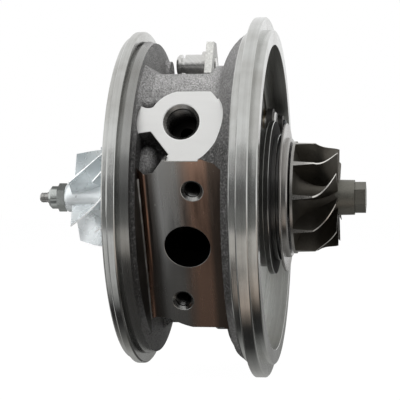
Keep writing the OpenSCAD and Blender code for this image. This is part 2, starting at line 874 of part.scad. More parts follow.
// Rotor

module rotor_shaft() {
    tip_x = thread_end - tip_l;
    color(steel)
        turned([
            [tip_x, 0], [tip_x, tip_r - edge], [tip_x + edge, tip_r], [thread_end - thread_r + tip_r, tip_r],
            [thread_end, thread_r], [thread_start, thread_r], [thread_start, stub_r], [collar_x1, stub_r],
            [collar_x1, journal_r], [weld_x - weld_l, journal_r], [weld_x - weld_l, weld_r], [weld_x, weld_r],
            [weld_x, 0]
        ]);
}

// Hub line of the turbine wheel at fraction f from the gas inlet to the outlet
function turbine_hub(f) =
    let (x0 = turbine_x + turbine_disc_t)
    [turbine_end - (turbine_end - x0) * cos(90 * f), turbine_r - (turbine_r - turbine_hub_r) * sin(90 * f)];

// Tip line of the turbine blades at fraction f
function turbine_tip(f) =
    let (x0 = turbine_x + turbine_in_w, drop = turbine_r - turbine_out_r)
    [x0 + (turbine_end - x0) * f, turbine_out_r + drop * pow(1 - f, turbine_tip_power)];

// Turn of a turbine blade at station x
turbine_turn = function (x)
    let (f = max(0, (x - turbine_x) / turbine_l - turbine_bend_start) / (1 - turbine_bend_start))
    turbine_wrap * f * f;

module turbine_blade() {
    rings = [
        for (i = [0:blade_rows])
            let (f = i / blade_rows)
            let (root = turbine_hub(f) - blade_sink * [cos(90 * f), sin(90 * f)])
            blade_ring(root, turbine_tip(f), turbine_turn, blade_t_hub, blade_t_tip)
    ];
    blade_skin(rings);
}

module turbine_wheel() {
    hub_steps = 10;
    hub_x1 = turbine_end + turbine_hub_l;
    color(dark_steel) {
        difference() {
            turned(concat(
                [[weld_x, 0], [weld_x, boss_r], [turbine_x, boss_r], [turbine_x, turbine_r]],
                [for (i = [0:hub_steps - 1]) turbine_hub(i / hub_steps)],
                [[hub_x1, turbine_hub_r], [hub_x1, 0]]
            ));
            tube(
                turbine_ring_x - groove_w / 2, turbine_ring_x + groove_w / 2,
                boss_r - groove_d, boss_r + overlap
            );
        }
        for (i = [0:turbine_blades - 1])
            rotate([-360 / turbine_blades * i, 0, 0])
                turbine_blade();
        rod(hub_x1 - overlap, hub_x1 + turbine_hex_l, hub_hex_w / 2, $fn = 6);
    }
}

// Hub line of the compressor wheel at fraction f from the air inlet to the outlet
function compressor_hub(f) =
    let (x0 = inducer_x - hub_lead)
    let (x1 = pilot_face)
    [x0 + (x1 - x0) * sin(90 * f), exducer_r - (exducer_r - nose_r) * cos(90 * f)];

// Tip line of the compressor blades at fraction f
function compressor_tip(f) =
    let (x1 = pilot_face - exducer_w, rise = exducer_r - blade_inset - inducer_r)
    [inducer_x + (x1 - inducer_x) * f, inducer_r + rise * pow(f, shroud_power)];

// One compressor blade that starts at a fraction of the way from the inlet to the outlet
module compressor_blade(start) {
    rings = [
        for (i = [0:blade_rows])
            let (f = start + (1 - start) * i / blade_rows)
            let (root = compressor_hub(f) + [blade_sink * sin(90 * f), -blade_sink * cos(90 * f) - blade_inset * f])
            let (turn = function (x) compressor_wrap * f)
            blade_ring(root, compressor_tip(f), turn, vane_t_hub, vane_t_tip)
    ];
    blade_skin(rings);
}

module compressor_wheel() {
    hub_steps = 12;
    pitch = 360 / compressor_blades;
    color(aluminium) {
        difference() {
            turned(concat(
                [[nose_x, 0], [nose_x, nose_r - 2 * edge], [nose_x + 2 * edge, nose_r - edge / 2]],
                [for (i = [0:hub_steps]) compressor_hub(i / hub_steps)],
                [[wheel_back, exducer_r], [wheel_back, sleeve_r], [sleeve_x0, sleeve_r]],
                [[sleeve_x0, 0]]
            ));
            rod(nose_x - overlap, sleeve_x0 + overlap, stub_r + fit);
        }
        for (i = [0:compressor_blades - 1]) {
            rotate([-pitch * i - compressor_phase, 0, 0])
                compressor_blade(0);
            rotate([-pitch * (i + 0.5) - compressor_phase, 0, 0])
                compressor_blade(splitter_start);
        }
    }
}

module compressor_nut() {
    hex_x = nose_x - nut_hex_l;
    color(steel)
        difference() {
            union() {
                rod(hex_x, nose_x, nut_hex_r, $fn = 6);
                turned([
                    [hex_x - nut_collar_l, 0], [hex_x - nut_collar_l, nut_collar_r - 2 * edge],
                    [hex_x - nut_collar_l + 2 * edge, nut_collar_r], [hex_x, nut_collar_r], [hex_x, 0]
                ]);
            }
            rod(hex_x - nut_collar_l - overlap, nose_x + overlap, thread_r + fit);
        }
}

module seal_sleeve() {
    color(steel)
        difference() {
            turned([
                [sleeve_x0, stub_r + fit], [sleeve_x0, sleeve_r], [sleeve_x1 - flinger_t, sleeve_r],
                [sleeve_x1 - flinger_t, collar_disc_r], [sleeve_x1, collar_disc_r], [sleeve_x1, stub_r + fit]
            ]);
            tube(
                compressor_ring_x - groove_w / 2, compressor_ring_x + groove_w / 2,
                sleeve_r - groove_d, sleeve_r + overlap
            );
        }
}

module thrust_collar() {
    disc_x = thrust_x1 + thrust_gap;
    color(steel)
        turned([
            [sleeve_x1, stub_r + fit], [sleeve_x1, collar_tube_r], [disc_x, collar_tube_r],
            [disc_x, collar_disc_r], [collar_x1, collar_disc_r], [collar_x1, stub_r + fit]
        ]);
}

// Floating journal bearing from x0 to x1, with radial oil holes
module journal_bearing(x0, x1) {
    inner = journal_r + journal_gap;
    color(bronze)
        difference() {
            turned([
                [x0, inner], [x0, bearing_r - edge], [x0 + edge, bearing_r], [x1 - edge, bearing_r],
                [x1, bearing_r - edge], [x1, inner]
            ]);
            for (i = [0:oil_holes - 1])
                rotate([360 / oil_holes * i, 0, 0])
                    translate([(x0 + x1) / 2, 0, 0])
                        cylinder(h = bearing_r + overlap, r = oil_hole_r);
        }
}

module compressor_journal_bearing() {
    journal_bearing(compressor_bearing_x0, compressor_bearing_x1);
}

module turbine_journal_bearing() {
    journal_bearing(turbine_bearing_x0, turbine_bearing_x1);
}

// Nozzle lever

// Frame of the lever pin: X stays, the origin is on the pin's axis
module at_lever_pin() {
    translate([0, pivot_y + lever_l * cos(lever_angle), pivot_z + lever_l * sin(lever_angle)])
        children();
}

// Frame of the crank roller: X stays, the origin is on the roller's axis
module at_roller() {
    translate([0, pivot_y + crank_l, pivot_z])
        children();
}

module lever_arm() {
    pin = lever_l * [cos(lever_angle), sin(lever_angle)];
    hub_in = lever_hub_r - link_inset;
    color(iron)
        difference() {
            translate([0, pivot_y, pivot_z]) {
                rod(lever_x0, lever_x1, lever_hub_r);
                prism(lever_x0, lever_x1)
                    polygon([
                        pin + [-lever_top_w / 2, lever_top], pin + lever_near,
                        hub_in * [cos(lever_hub_near), sin(lever_hub_near)],
                        hub_in * [cos(lever_hub_far), sin(lever_hub_far)],
                        pin + lever_far, pin + [lever_top_w / 2, lever_top]
                    ]);
            }
            translate([0, pivot_y, pivot_z])
                rod(lever_x0 - overlap, lever_x1 + overlap, spindle_r + fit);
            at_lever_pin()
                rod(lever_x0 - overlap, lever_x1 + overlap, pin_tail_r + fit);
        }
}

module lever_pin() {
    x0 = flange_inner + pin_clear;
    groove_x0 = x0 + pin_groove_in;
    groove_x1 = groove_x0 + pin_groove_w;
    color(steel)
        at_lever_pin()
            turned([
                [x0, 0], [x0, lever_pin_r - 2 * edge], [x0 + 2 * edge, lever_pin_r], [groove_x0, lever_pin_r],
                [groove_x0, lever_pin_r - pin_groove_d], [groove_x1, lever_pin_r - pin_groove_d],
                [groove_x1, lever_pin_r], [lever_x0 - pin_collar_l, lever_pin_r],
                [lever_x0 - pin_collar_l, pin_collar_r], [lever_x0, pin_collar_r], [lever_x0, pin_tail_r],
                [lever_x1, pin_tail_r], [lever_x1 + edge, pin_tail_r - edge], [lever_x1 + edge, 0]
            ]);
}

module lever_spindle() {
    color(steel)
        translate([0, pivot_y, pivot_z])
            turned([
                [lever_x0 - rivet_l, 0], [lever_x0 - rivet_l, rivet_r - edge], [lever_x0 - edge, rivet_r],
                [lever_x0, rivet_r], [lever_x0, spindle_r], [crank_x1, spindle_r], [crank_x1, rivet_r],
                [crank_x1 + edge, rivet_r], [crank_x1 + rivet_l, rivet_r - edge], [crank_x1 + rivet_l, 0]
            ]);
}

module crank_arm() {
    color(dark_steel)
        difference() {
            translate([0, pivot_y, pivot_z])
                link(crank_x0, crank_x1, crank_l, crank_hub_r, crank_end_r);
            translate([0, pivot_y, pivot_z])
                rod(crank_x0 - overlap, crank_x1 + overlap, spindle_r + fit);
            at_roller()
                rod(crank_x0 - overlap, crank_x1 + overlap, crank_pin_r + fit);
        }
}

module crank_pin() {
    end_x = roller_x0 + roller_l + pin_end_l;
    color(steel)
        at_roller()
            turned([
                [crank_x0, 0], [crank_x0, crank_pin_r], [end_x - edge, crank_pin_r],
                [end_x, crank_pin_r - edge], [end_x, 0]
            ]);
}

module crank_roller() {
    color(dark_steel)
        at_roller()
            turned([
                [roller_x0, crank_pin_r + spindle_gap], [roller_x0, roller_r - edge / 2],
                [roller_x0 + edge / 2, roller_r], [roller_x0 + roller_l - edge / 2, roller_r],
                [roller_x0 + roller_l, roller_r - edge / 2], [roller_x0 + roller_l, crank_pin_r + spindle_gap]
            ]);
}

bearing_housing();
seal_plate();
seal_plate_o_ring();
seal_plate_screws();
compressor_seal_ring();
turbine_seal_ring();
oil_deflector();
thrust_bearing();
bearing_circlips();
heat_shield();
lever_bush();
rotor_shaft();
turbine_wheel();
compressor_wheel();
compressor_nut();
seal_sleeve();
thrust_collar();
compressor_journal_bearing();
turbine_journal_bearing();
lever_arm();
lever_pin();
lever_spindle();
crank_arm();
crank_pin();
crank_roller();
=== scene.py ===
"""Looks of a turbo cartridge: finishes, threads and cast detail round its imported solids."""

import logging
import math
from contextlib import contextmanager
from dataclasses import dataclass, field
from enum import Enum
from typing import Iterator, Sequence

import bmesh
import bpy
from mathutils import Matrix, Vector

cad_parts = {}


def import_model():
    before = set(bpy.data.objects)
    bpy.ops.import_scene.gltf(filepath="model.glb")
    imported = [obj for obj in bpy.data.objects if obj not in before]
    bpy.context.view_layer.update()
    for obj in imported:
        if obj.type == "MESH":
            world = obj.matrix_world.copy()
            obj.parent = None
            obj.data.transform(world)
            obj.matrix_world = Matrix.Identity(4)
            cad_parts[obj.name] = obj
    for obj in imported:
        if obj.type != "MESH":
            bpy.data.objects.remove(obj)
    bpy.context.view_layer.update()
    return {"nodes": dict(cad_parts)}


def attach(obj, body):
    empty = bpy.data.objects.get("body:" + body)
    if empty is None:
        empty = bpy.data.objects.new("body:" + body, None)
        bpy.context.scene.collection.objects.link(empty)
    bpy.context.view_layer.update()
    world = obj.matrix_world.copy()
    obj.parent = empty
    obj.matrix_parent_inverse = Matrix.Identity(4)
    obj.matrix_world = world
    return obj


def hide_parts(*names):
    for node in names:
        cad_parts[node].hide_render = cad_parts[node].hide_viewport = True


MM = 0.001
PER_MM = 1000.0
MERGE_MM = 0.002
# Edges over these angles, in degrees, stay sharp
SHARP_TURNED, SHARP_CASTING, SHARP_PLATE = 25.0, 32.0, 35.0
SHARP_THREAD, SHARP_BURR, SHARP_KNOB = 40.0, 50.0, 60.0
WHITE = (1.0, 1.0, 1.0)
BLACK = (0.0, 0.0, 0.0)
LOG = logging.getLogger("cartridge")

Triple = tuple[float, float, float]
Colour = Triple
Span = tuple[float, float]
Stops = Sequence[tuple[float, Colour]]
Inputs = dict[str | int, object]
Piece = bpy.types.Object
Socket = bpy.types.NodeSocket


# Handling of objects and meshes


def deselect_all() -> None:
    """Leave edit mode and select nothing."""
    active = bpy.context.object
    if active is not None and active.mode != "OBJECT":
        bpy.ops.object.mode_set(mode="OBJECT")
    bpy.ops.object.select_all(action="DESELECT")


def activate(piece: Piece) -> None:
    """Make one piece the only selected and the active object."""
    deselect_all()
    piece.select_set(True)
    bpy.context.view_layer.objects.active = piece


@contextmanager
def editing(piece: Piece) -> Iterator[bmesh.types.BMesh]:
    """Open one piece in edit mode with nothing selected.

    Args:
        piece: the mesh object to edit.

    Returns:
        The edit mesh, as the value of the with statement.
    """
    activate(piece)
    bpy.ops.object.mode_set(mode="EDIT")
    bpy.ops.mesh.select_mode(type="FACE")
    bpy.ops.mesh.select_all(action="DESELECT")
    yield bmesh.from_edit_mesh(piece.data)
    bpy.ops.object.mode_set(mode="OBJECT")


def named(name: str) -> Piece:
    """Give the object that was just added its name.

    Args:
        name: the name of the object and of its data.

    Returns:
        The object.
    """
    made = bpy.context.object
    made.name = name
    made.data.name = name
    return made


def smooth(piece: Piece, degrees: float) -> None:
    """Shade a piece smooth except over edges sharper than the angle."""
    activate(piece)
    bpy.ops.object.shade_smooth_by_angle(angle=math.radians(degrees))


def apply_modifiers(piece: Piece) -> None:
    """Apply every modifier of a piece in order."""
    activate(piece)
    for modifier in list(piece.modifiers):
        bpy.ops.object.modifier_apply(modifier=modifier.name)


def settle(piece: Piece, place: Matrix | None = None) -> None:
    """Move a piece to its place and put that place into its mesh.

    Args:
        piece: the object to move.
        place: where its own origin goes, or None to keep it.
    """
    if place is not None:
        piece.matrix_world = place @ piece.matrix_world
    activate(piece)
    bpy.ops.object.transform_apply(location=True, rotation=True, scale=True)


def node_copy(source: Piece, name: str) -> Piece:
    """Copy a solid's mesh into a new piece with its loose triangles merged.

    Args:
        source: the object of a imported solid.
        name: the name of the new piece.

    Returns:
        The new piece, without a body yet.
    """
    piece = source.copy()
    piece.data = source.data.copy()
    piece.name = name
    piece.data.name = name
    for key in list(piece.keys()):
        del piece[key]
    piece.parent = None
    bpy.context.scene.collection.objects.link(piece)
    with editing(piece):
        bpy.ops.mesh.customdata_custom_splitnormals_clear()
        bpy.ops.mesh.select_all(action="SELECT")
        bpy.ops.mesh.remove_doubles(threshold=MERGE_MM * MM)
    piece.data.materials.clear()
    return piece


def shifted(x: float, y: float, z: float) -> Matrix:
    """Shift by a distance in mm."""
    return Matrix.Translation((x * MM, y * MM, z * MM))


def turned(degrees: float, letter: str) -> Matrix:
    """Turn about an axis by an angle in degrees."""
    return Matrix.Rotation(math.radians(degrees), 4, letter)


def face_place(x: float, tilt: float, distance: float, up: float = 0.0) -> Matrix:
    """Frame on one of the oil faces, Z pointing out of the face.

    Args:
        x: station along the shaft, in mm.
        tilt: angle of the face above the horizontal, in degrees.
        distance: distance of the face from the shaft axis, in mm.
        up: offset up along the face, in mm.

    Returns:
        The frame as a matrix in metres.
    """
    return shifted(x, 0, 0) @ turned(90 - tilt, "X") @ shifted(0, up, distance)


def radius_mm(point: Vector) -> float:
    """Distance of a point from the shaft axis, in mm."""
    return math.hypot(point.y, point.z) * PER_MM


def share_of(value: float, low: float, high: float) -> float:
    """How far a value lies on the way from low to high, from 0 to 1."""
    return min(1.0, max(0.0, (value - low) / (high - low)))


# Finishes


class NodeTree:
    """A node tree that ends in one output, with short calls for its nodes."""

    def __init__(self, tree: bpy.types.NodeTree, output: str) -> None:
        """Empty the tree and give it an output node of a type."""
        self.tree = tree
        self.tree.nodes.clear()
        self.output = self.tree.nodes.new(output)

    def node(self, kind: str, inputs: Inputs | None = None, **settings: object) -> bpy.types.Node:
        """Add a node.

        Args:
            kind: the node's type.
            inputs: sockets to link and values to set, by the input's name or number.
            settings: the node's own properties.

        Returns:
            The node.
        """
        made = self.tree.nodes.new(kind)
        for key, value in settings.items():
            setattr(made, key, value)
        for key, value in (inputs or {}).items():
            self.feed(made.inputs[key], value)
        return made

    def feed(self, target: Socket, value: object) -> None:
        """Link a socket into the target, or set the target's own value."""
        if isinstance(value, Socket):
            self.tree.links.new(value, target)
        elif isinstance(value, tuple) and len(value) == 3 and target.type == "RGBA":
            target.default_value = (*value, 1.0)
        else:
            target.default_value = value

    def math(self, operation: str, a: object, b: object = 0.0) -> Socket:
        """Result of a math node on two values."""
        return self.node("ShaderNodeMath", {0: a, 1: b}, operation=operation).outputs[0]

    def show(self, shader: bpy.types.Node) -> None:
        """Lead a shader to the output."""
        self.tree.links.new(shader.outputs[0], self.output.inputs["Surface"])

    def blend(self, share: Socket, first: bpy.types.Node, second: bpy.types.Node) -> None:
        """Lead two shaders to the output, the second one by a share."""
        inputs = {"Fac": share, 1: first.outputs[0], 2: second.outputs[0]}
        self.show(self.node("ShaderNodeMixShader", inputs))

    def seen(self) -> Socket:
        """Whether a ray comes from the camera, a mirror or through glass."""
        path = self.node("ShaderNodeLightPath")
        total = path.outputs["Is Camera Ray"]
        for name in ("Is Glossy Ray", "Is Transmission Ray"):
            total = self.math("MAXIMUM", total, path.outputs[name])
        return total


class Shader(NodeTree):
    """One material's node tree, on object coordinates."""

    def __init__(self, name: str) -> None:
        """Start a material with a principled surface."""
        self.material = bpy.data.materials.new(name)
        self.material.use_nodes = True
        super().__init__(self.material.node_tree, "ShaderNodeOutputMaterial")
        self.surface = self.node("ShaderNodeBsdfPrincipled")
        self.show(self.surface)
        self.coords = self.node("ShaderNodeTexCoord").outputs["Object"]

    def set(self, **values: object) -> None:
        """Set or link inputs of the surface, named with underscores for spaces."""
        for key, value in values.items():
            self.feed(self.surface.inputs[key.replace("_", " ")], value)

    def mapped(self, scale: Triple, turn: Triple = (0, 0, 0)) -> Socket:
        """Object coordinates stretched and turned by a mapping node."""
        inputs = {"Vector": self.coords, "Scale": scale, "Rotation": turn}
        return self.node("ShaderNodeMapping", inputs).outputs["Vector"]

    def noise(
        self, per_mm: float, detail: float = 4.0, rough: float = 0.55, vector: Socket | None = None
    ) -> Socket:
        """Noise value.

        Args:
            per_mm: number of features along one millimetre.
            detail: octaves of the noise.
            rough: weight of the finer octaves.
            vector: coordinates, or None for plain object coordinates.

        Returns:
            The noise factor's socket.
        """
        inputs = {"Scale": per_mm * PER_MM, "Detail": detail, "Roughness": rough}
        inputs["Vector"] = vector or self.coords
        return self.node("ShaderNodeTexNoise", inputs).outputs["Fac"]

    def pits(self, per_mm: float) -> Socket:
        """Distance to the nearest cell centre, for pits and grains."""
        inputs = {"Vector": self.coords, "Scale": per_mm * PER_MM}
        return self.node("ShaderNodeTexVoronoi", inputs).outputs["Distance"]

    def rings(self, per_mm: float, detail: float = 3.0) -> Socket:
        """Noise that only changes along the shaft and away from it, as tool marks of a lathe do."""
        place = self.math("ADD", self.axis("X"), self.radius())
        inputs = {"W": place, "Scale": per_mm * PER_MM, "Detail": detail}
        return self.node("ShaderNodeTexNoise", inputs, noise_dimensions="1D").outputs["Fac"]

    def axis(self, letter: str) -> Socket:
        """One object coordinate, in metres."""
        return self.node("ShaderNodeSeparateXYZ", {0: self.coords}).outputs[letter]

    def radius(self) -> Socket:
        """Distance from the shaft axis, in metres."""
        y, z = self.axis("Y"), self.axis("Z")
        square = self.math("ADD", self.math("MULTIPLY", y, y), self.math("MULTIPLY", z, z))
        return self.math("SQRT", square)

    def span(self, value: Socket, low: float, high: float, out: Span = (0.0, 1.0)) -> Socket:
        """Value moved from the range low to high into the range out, and kept inside it."""
        ends = {"From Min": low, "From Max": high, "To Min": out[0], "To Max": out[1]}
        return self.node("ShaderNodeMapRange", {"Value": value, **ends}).outputs["Result"]

    def along(self, letter: str, ends: Span, out: Span = (0.0, 1.0)) -> Socket:
        """Way between two stations in mm along an axis, moved into the range out."""
        low, high = ends
        return self.span(self.axis(letter), low * MM, high * MM, out)

    def about(self, value: Socket, centre: float, swing: float) -> Socket:
        """Noise value turned into a value that swings about a centre."""
        return self.span(value, 0.3, 0.7, (centre - swing, centre + swing))

    def ramp(self, value: Socket, *stops: tuple[float, Colour]) -> Socket:
        """Colour from a value through colour stops."""
        made = self.node("ShaderNodeValToRGB", {"Fac": value})
        elements = made.color_ramp.elements
        while len(elements) < len(stops):
            elements.new(0.5)
        for element, (place, colour) in zip(elements, stops):
            element.position = place
            element.color = (*colour, 1.0)
        return made.outputs["Color"]

    def stations(self, place: Socket, stops: Stops) -> Socket:
        """Colour along a coordinate through colour stops at stations in mm."""
        low, high = stops[0][0], stops[-1][0]
        share = self.span(place, low * MM, high * MM)
        return self.ramp(share, *(((at - low) / (high - low), colour) for at, colour in stops))

    def mix(self, share: object, a: object, b: object, blend: str = "MIX") -> Socket:
        """Colour between a and b."""
        inputs = {"Factor": share, 6: a, 7: b}
        return self.node("ShaderNodeMix", inputs, data_type="RGBA", blend_type=blend).outputs[2]

    def bump(
        self, height: Socket, depth_mm: float, strength: float, under: Socket | None = None
    ) -> Socket:
        """Normal roughened by a height.

        Args:
            height: height between 0 and 1.
            depth_mm: what a height of 1 means, in mm.
            strength: share of the effect.
            under: another bump's normal that this one lies on.

        Returns:
            The normal's socket.
        """
        inputs = {"Height": height, "Distance": depth_mm * MM, "Strength": strength}
        if under is not None:
            inputs["Normal"] = under
        return self.node("ShaderNodeBump", inputs).outputs["Normal"]


def grey(value: float, warm: float = 0.0) -> Colour:
    """Neutral colour of a linear value, warmed towards brown by a share."""
    return (value * (1 + warm), value, value * (1 - warm))


def dimmed(colour: Colour, share: float) -> Colour:
    """Colour times a share."""
    r, g, b = colour
    return (r * share, g * share, b * share)


@dataclass(frozen=True)
class Finish:
    """Base of the finishes: a name and the record's slot that it belongs to."""

    name: str
    slot: str

    def shade(self, shader: Shader) -> None:
        """Build the finish's nodes."""
        raise NotImplementedError

    def material(self) -> bpy.types.Material:
        """The finish's material, made at its first use."""
        found = bpy.data.materials.get(self.name)
        if found is None:
            shader = Shader(self.name)
            self.shade(shader)
            found = shader.material
        return found


@dataclass(frozen=True)
class CastSkin(Finish):
    """Sand-cast iron, fine where it is clean, and coarse and dark where old oil sits and where
    shade is painted in.
    """

    dark: float = 0.08
    light: float = 0.52
    grain: float = 1.6
    depth: float = 0.22
    # Strength of the old oil and painted shade
    oil: float = 0.95
    floor_edge: Span = (-48.0, -30.0)
    valley_depth: Span = (-16.0, -32.0)
    valley_height: Span = (34.0, 14.0)
    flank_depth: Span = (14.0, -14.0)
    flank_height: Span = (66.0, 6.0)
    bell_edge: Span = (-13.0, -11.0)

    def oil_mask(self, shader: Shader) -> Socket:
        """Share of old oil and painted shade on the skin, thickest in the valley at the front."""
        valley = shader.math(
            "MULTIPLY",
            shader.along("Y", self.valley_depth),
            shader.along("Z", self.valley_height, (0.0, self.oil)),
        )
        flank = shader.math(
            "MULTIPLY",
            shader.along("Y", self.flank_depth),
            shader.along("Z", self.flank_height, (0.2 * self.oil, self.oil)),
        )
        bell = shader.math("MULTIPLY", shader.along("X", self.bell_edge), flank)
        low = shader.along("Z", self.floor_edge)
        return shader.math("MULTIPLY", low, shader.math("MAXIMUM", valley, bell))

    def shade(self, shader: Shader) -> None:
        """Grain, soft waves and speckle of the sand mould."""
        grains = shader.noise(self.grain, 6.0, 0.62)
        sand = shader.noise(1.5 * self.grain, 4.0, 0.6)
        cells = shader.pits(self.grain * 0.9)
        waves = shader.noise(0.12, 3.0)
        speckle = shader.ramp(sand, (0.34, grey(self.dark, 0.01)), (0.68, grey(self.light, 0.01)))
        shade = shader.ramp(waves, (0.3, grey(0.72)), (0.7, grey(1.0)))
        clean = shader.mix(1.0, speckle, shade, "MULTIPLY")
        # Dark colour of old oil, also painted shade at the front and lower down on the flanks
        oily_and_shaded = shader.ramp(
            grains, (0.40, grey(0.012, 0.03)), (0.52, grey(0.035, 0.03)), (0.68, grey(0.15, 0.02))
        )
        rough = shader.bump(cells, self.depth, 0.4, shader.bump(waves, 1.2, 0.5))
        shader.set(
            Base_Color=shader.mix(self.oil_mask(shader), clean, oily_and_shaded),
            Metallic=0.25,
            Roughness=shader.about(grains, 0.6, -0.12),
            Normal=shader.bump(sand, self.depth, 0.8, rough),
        )


@dataclass(frozen=True)
class TurnedMetal(Finish):
    """Metal turned on a lathe, with rings of tool marks round the shaft."""

    tint: Colour = (0.60, 0.60, 0.585)
    roughness: float = 0.2
    pitch: float = 7.0
    depth: float = 0.012
    stain: float = 0.35

    def shade(self, shader: Shader) -> None:
        """Rings in height and colour, with faint clouds of handling stain."""
        rings = shader.rings(self.pitch)
        broad = shader.rings(self.pitch / 8)
        clouds = shader.noise(0.05, 4.0)
        ringed = shader.ramp(broad, (0.25, dimmed(self.tint, 0.86)), (0.75, self.tint))
        uneven = shader.mix(0.5, rings, clouds)
        stained = shader.ramp(clouds, (0.35, WHITE), (0.75, grey(1 - self.stain, 0.03)))
        shader.set(
            Base_Color=shader.mix(1.0, ringed, stained, "MULTIPLY"),
            Metallic=1.0,
            Roughness=shader.about(uneven, self.roughness, 0.3 * self.roughness),
            Normal=shader.bump(rings, self.depth, 0.8),
        )


@dataclass(frozen=True)
class MilledFace(Finish):
    """Flat face cut by an end mill, scratched, with a brown tint of old oil in bands across it and
    painted shade on it.
    """

    # Brown tint of old oil along the face; the dark dip from -32.7 to -31 mm, beside the fillet, is
    # painted shade
    bands: Stops = (
        (-34.4, (0.34, 0.20, 0.14)),
        (-33.4, (0.36, 0.21, 0.15)),
        (-32.7, (0.11, 0.09, 0.08)),
        (-31.0, (0.17, 0.16, 0.15)),
        (-28.5, (0.50, 0.50, 0.49)),
        (-23.5, (0.50, 0.49, 0.47)),
        (-21.6, (0.50, 0.40, 0.345)),
        (-19.0, (0.72, 0.46, 0.345)),
        (-15.0, (0.70, 0.45, 0.34)),
        (-13.4, (0.26, 0.20, 0.165)),
        (-8.6, (0.15, 0.12, 0.105)),
    )
    roughness: float = 0.24
    wander: float = 2.5
    fall: Span = (10.0, -36.0)

    def shade(self, shader: Shader) -> None:
        """Brown bands and painted shade along the face, scratches and bright specks."""
        streaks = shader.noise(0.16, 5.0, 0.6, shader.mapped((2.2, 0.25, 0.25)))
        scratches = shader.noise(2.0, 3.0, 0.6, shader.mapped((1.0, 0.04, 0.04), (0.3, 0, 0)))
        wander = shader.math("MULTIPLY", shader.math("SUBTRACT", streaks, 0.5), self.wander * MM)
        toned = shader.stations(shader.math("ADD", shader.axis("X"), wander), self.bands)
        fall = shader.along("Z", self.fall)
        # Painted shade up and down the face: darkest at the top, lightest three quarters of the way
        # down
        height_shade = shader.ramp(
            fall, (0.0, grey(0.66)), (0.25, grey(0.72)), (0.75, grey(1.0)), (1.0, grey(0.86))
        )
        specks = shader.ramp(shader.noise(1.3, 2.0), (0.73, BLACK), (0.76, (0.35, 0.34, 0.32)))
        shader.set(
            Base_Color=shader.mix(1.0, shader.mix(1.0, toned, height_shade, "MULTIPLY"), specks, "ADD"),
            Metallic=1.0,
            Roughness=shader.about(streaks, self.roughness, 0.1),
            Normal=shader.bump(scratches, 0.012, 0.6),
        )


@dataclass(frozen=True)
class PadFace(Finish):
    """Bright fly-cut pad with a few dents and scratches."""

    tint: Colour = (0.87, 0.87, 0.855)

    def shade(self, shader: Shader) -> None:
        """Fine cutter lines and rare dents."""
        lines = shader.noise(3.0, 3.0, 0.6, shader.mapped((0.05, 1.0, 1.0)))
        dents = shader.ramp(shader.noise(0.5, 4.0, 0.7), (0.70, WHITE), (0.76, (0.55, 0.54, 0.52)))
        shader.set(
            Base_Color=shader.mix(1.0, self.tint, dents, "MULTIPLY"),
            Metallic=1.0,
            Roughness=shader.about(lines, 0.42, 0.06),
            Normal=shader.bump(lines, 0.008, 0.6),
        )


@dataclass(frozen=True)
class GrainMetal(Finish):
    """Metal with an even fine grain, from blasting, stamping or casting."""

    tint: Colour = (0.5, 0.5, 0.49)
    roughness: float = 0.45
    grain: float = 3.0
    depth: float = 0.05
    spread: float = 0.25
    metallic: float = 1.0
    gloss: float = 0.5

    def shade(self, shader: Shader) -> None:
        """Grain in height, colour and roughness."""
        grains = shader.noise(self.grain, 4.0, 0.6)
        clouds = shader.noise(0.12, 3.0)
        low, high = dimmed(self.tint, 1 - self.spread), dimmed(self.tint, 1 + self.spread)
        toned = shader.ramp(grains, (0.3, low), (0.7, high))
        shade = shader.ramp(clouds, (0.3, grey(0.82)), (0.7, grey(1.0)))
        shader.set(
            Base_Color=shader.mix(1.0, toned, shade, "MULTIPLY"),
            Metallic=self.metallic,
            Specular_IOR_Level=self.gloss,
            Roughness=shader.about(grains, self.roughness, 0.25 * self.roughness),
            Normal=shader.bump(grains, self.depth, 0.7),
        )


@dataclass(frozen=True)
class GroundTip(Finish):
    """Tips of blades, ground bright along the outlet and duller towards the disc."""

    tint: Colour = (0.82, 0.80, 0.76)
    dull: float = 0.45
    roughness: float = 0.3
    rise: Span = (12.0, 16.0)

    def shade(self, shader: Shader) -> None:
        """Tone that rises along the shaft, with fine grinding lines in the gloss."""
        lines = shader.noise(3.0, 3.0)
        along = shader.along("X", self.rise)
        shader.set(
            Base_Color=shader.mix(along, dimmed(self.tint, self.dull), self.tint),
            Metallic=1.0,
            Roughness=shader.about(lines, self.roughness, 0.08),
        )


@dataclass(frozen=True)
class Rubber(Finish):
    """Black moulded rubber."""

    def shade(self, shader: Shader) -> None:
        """Dusty black with a fine skin."""
        skin = shader.noise(4.0, 3.0)
        shader.set(
            Base_Color=shader.ramp(skin, (0.3, grey(0.015)), (0.7, grey(0.035))),
            Roughness=shader.about(skin, 0.65, 0.1),
            Normal=shader.bump(skin, 0.02, 0.5),
        )


@dataclass(frozen=True)
class BladeMetal(Finish):
    """Bright aluminium milled smooth, with slow changes of tone."""

    tint: Colour = (0.77, 0.81, 0.825)
    roughness: float = 0.28
    metallic: float = 0.55

    def shade(self, shader: Shader) -> None:
        """Soft clouds in tone and gloss."""
        clouds = shader.noise(0.18, 2.0)
        shader.set(
            Base_Color=shader.ramp(clouds, (0.3, dimmed(self.tint, 0.9)), (0.7, self.tint)),
            Metallic=self.metallic,
            Roughness=shader.about(clouds, self.roughness, 0.06),
        )


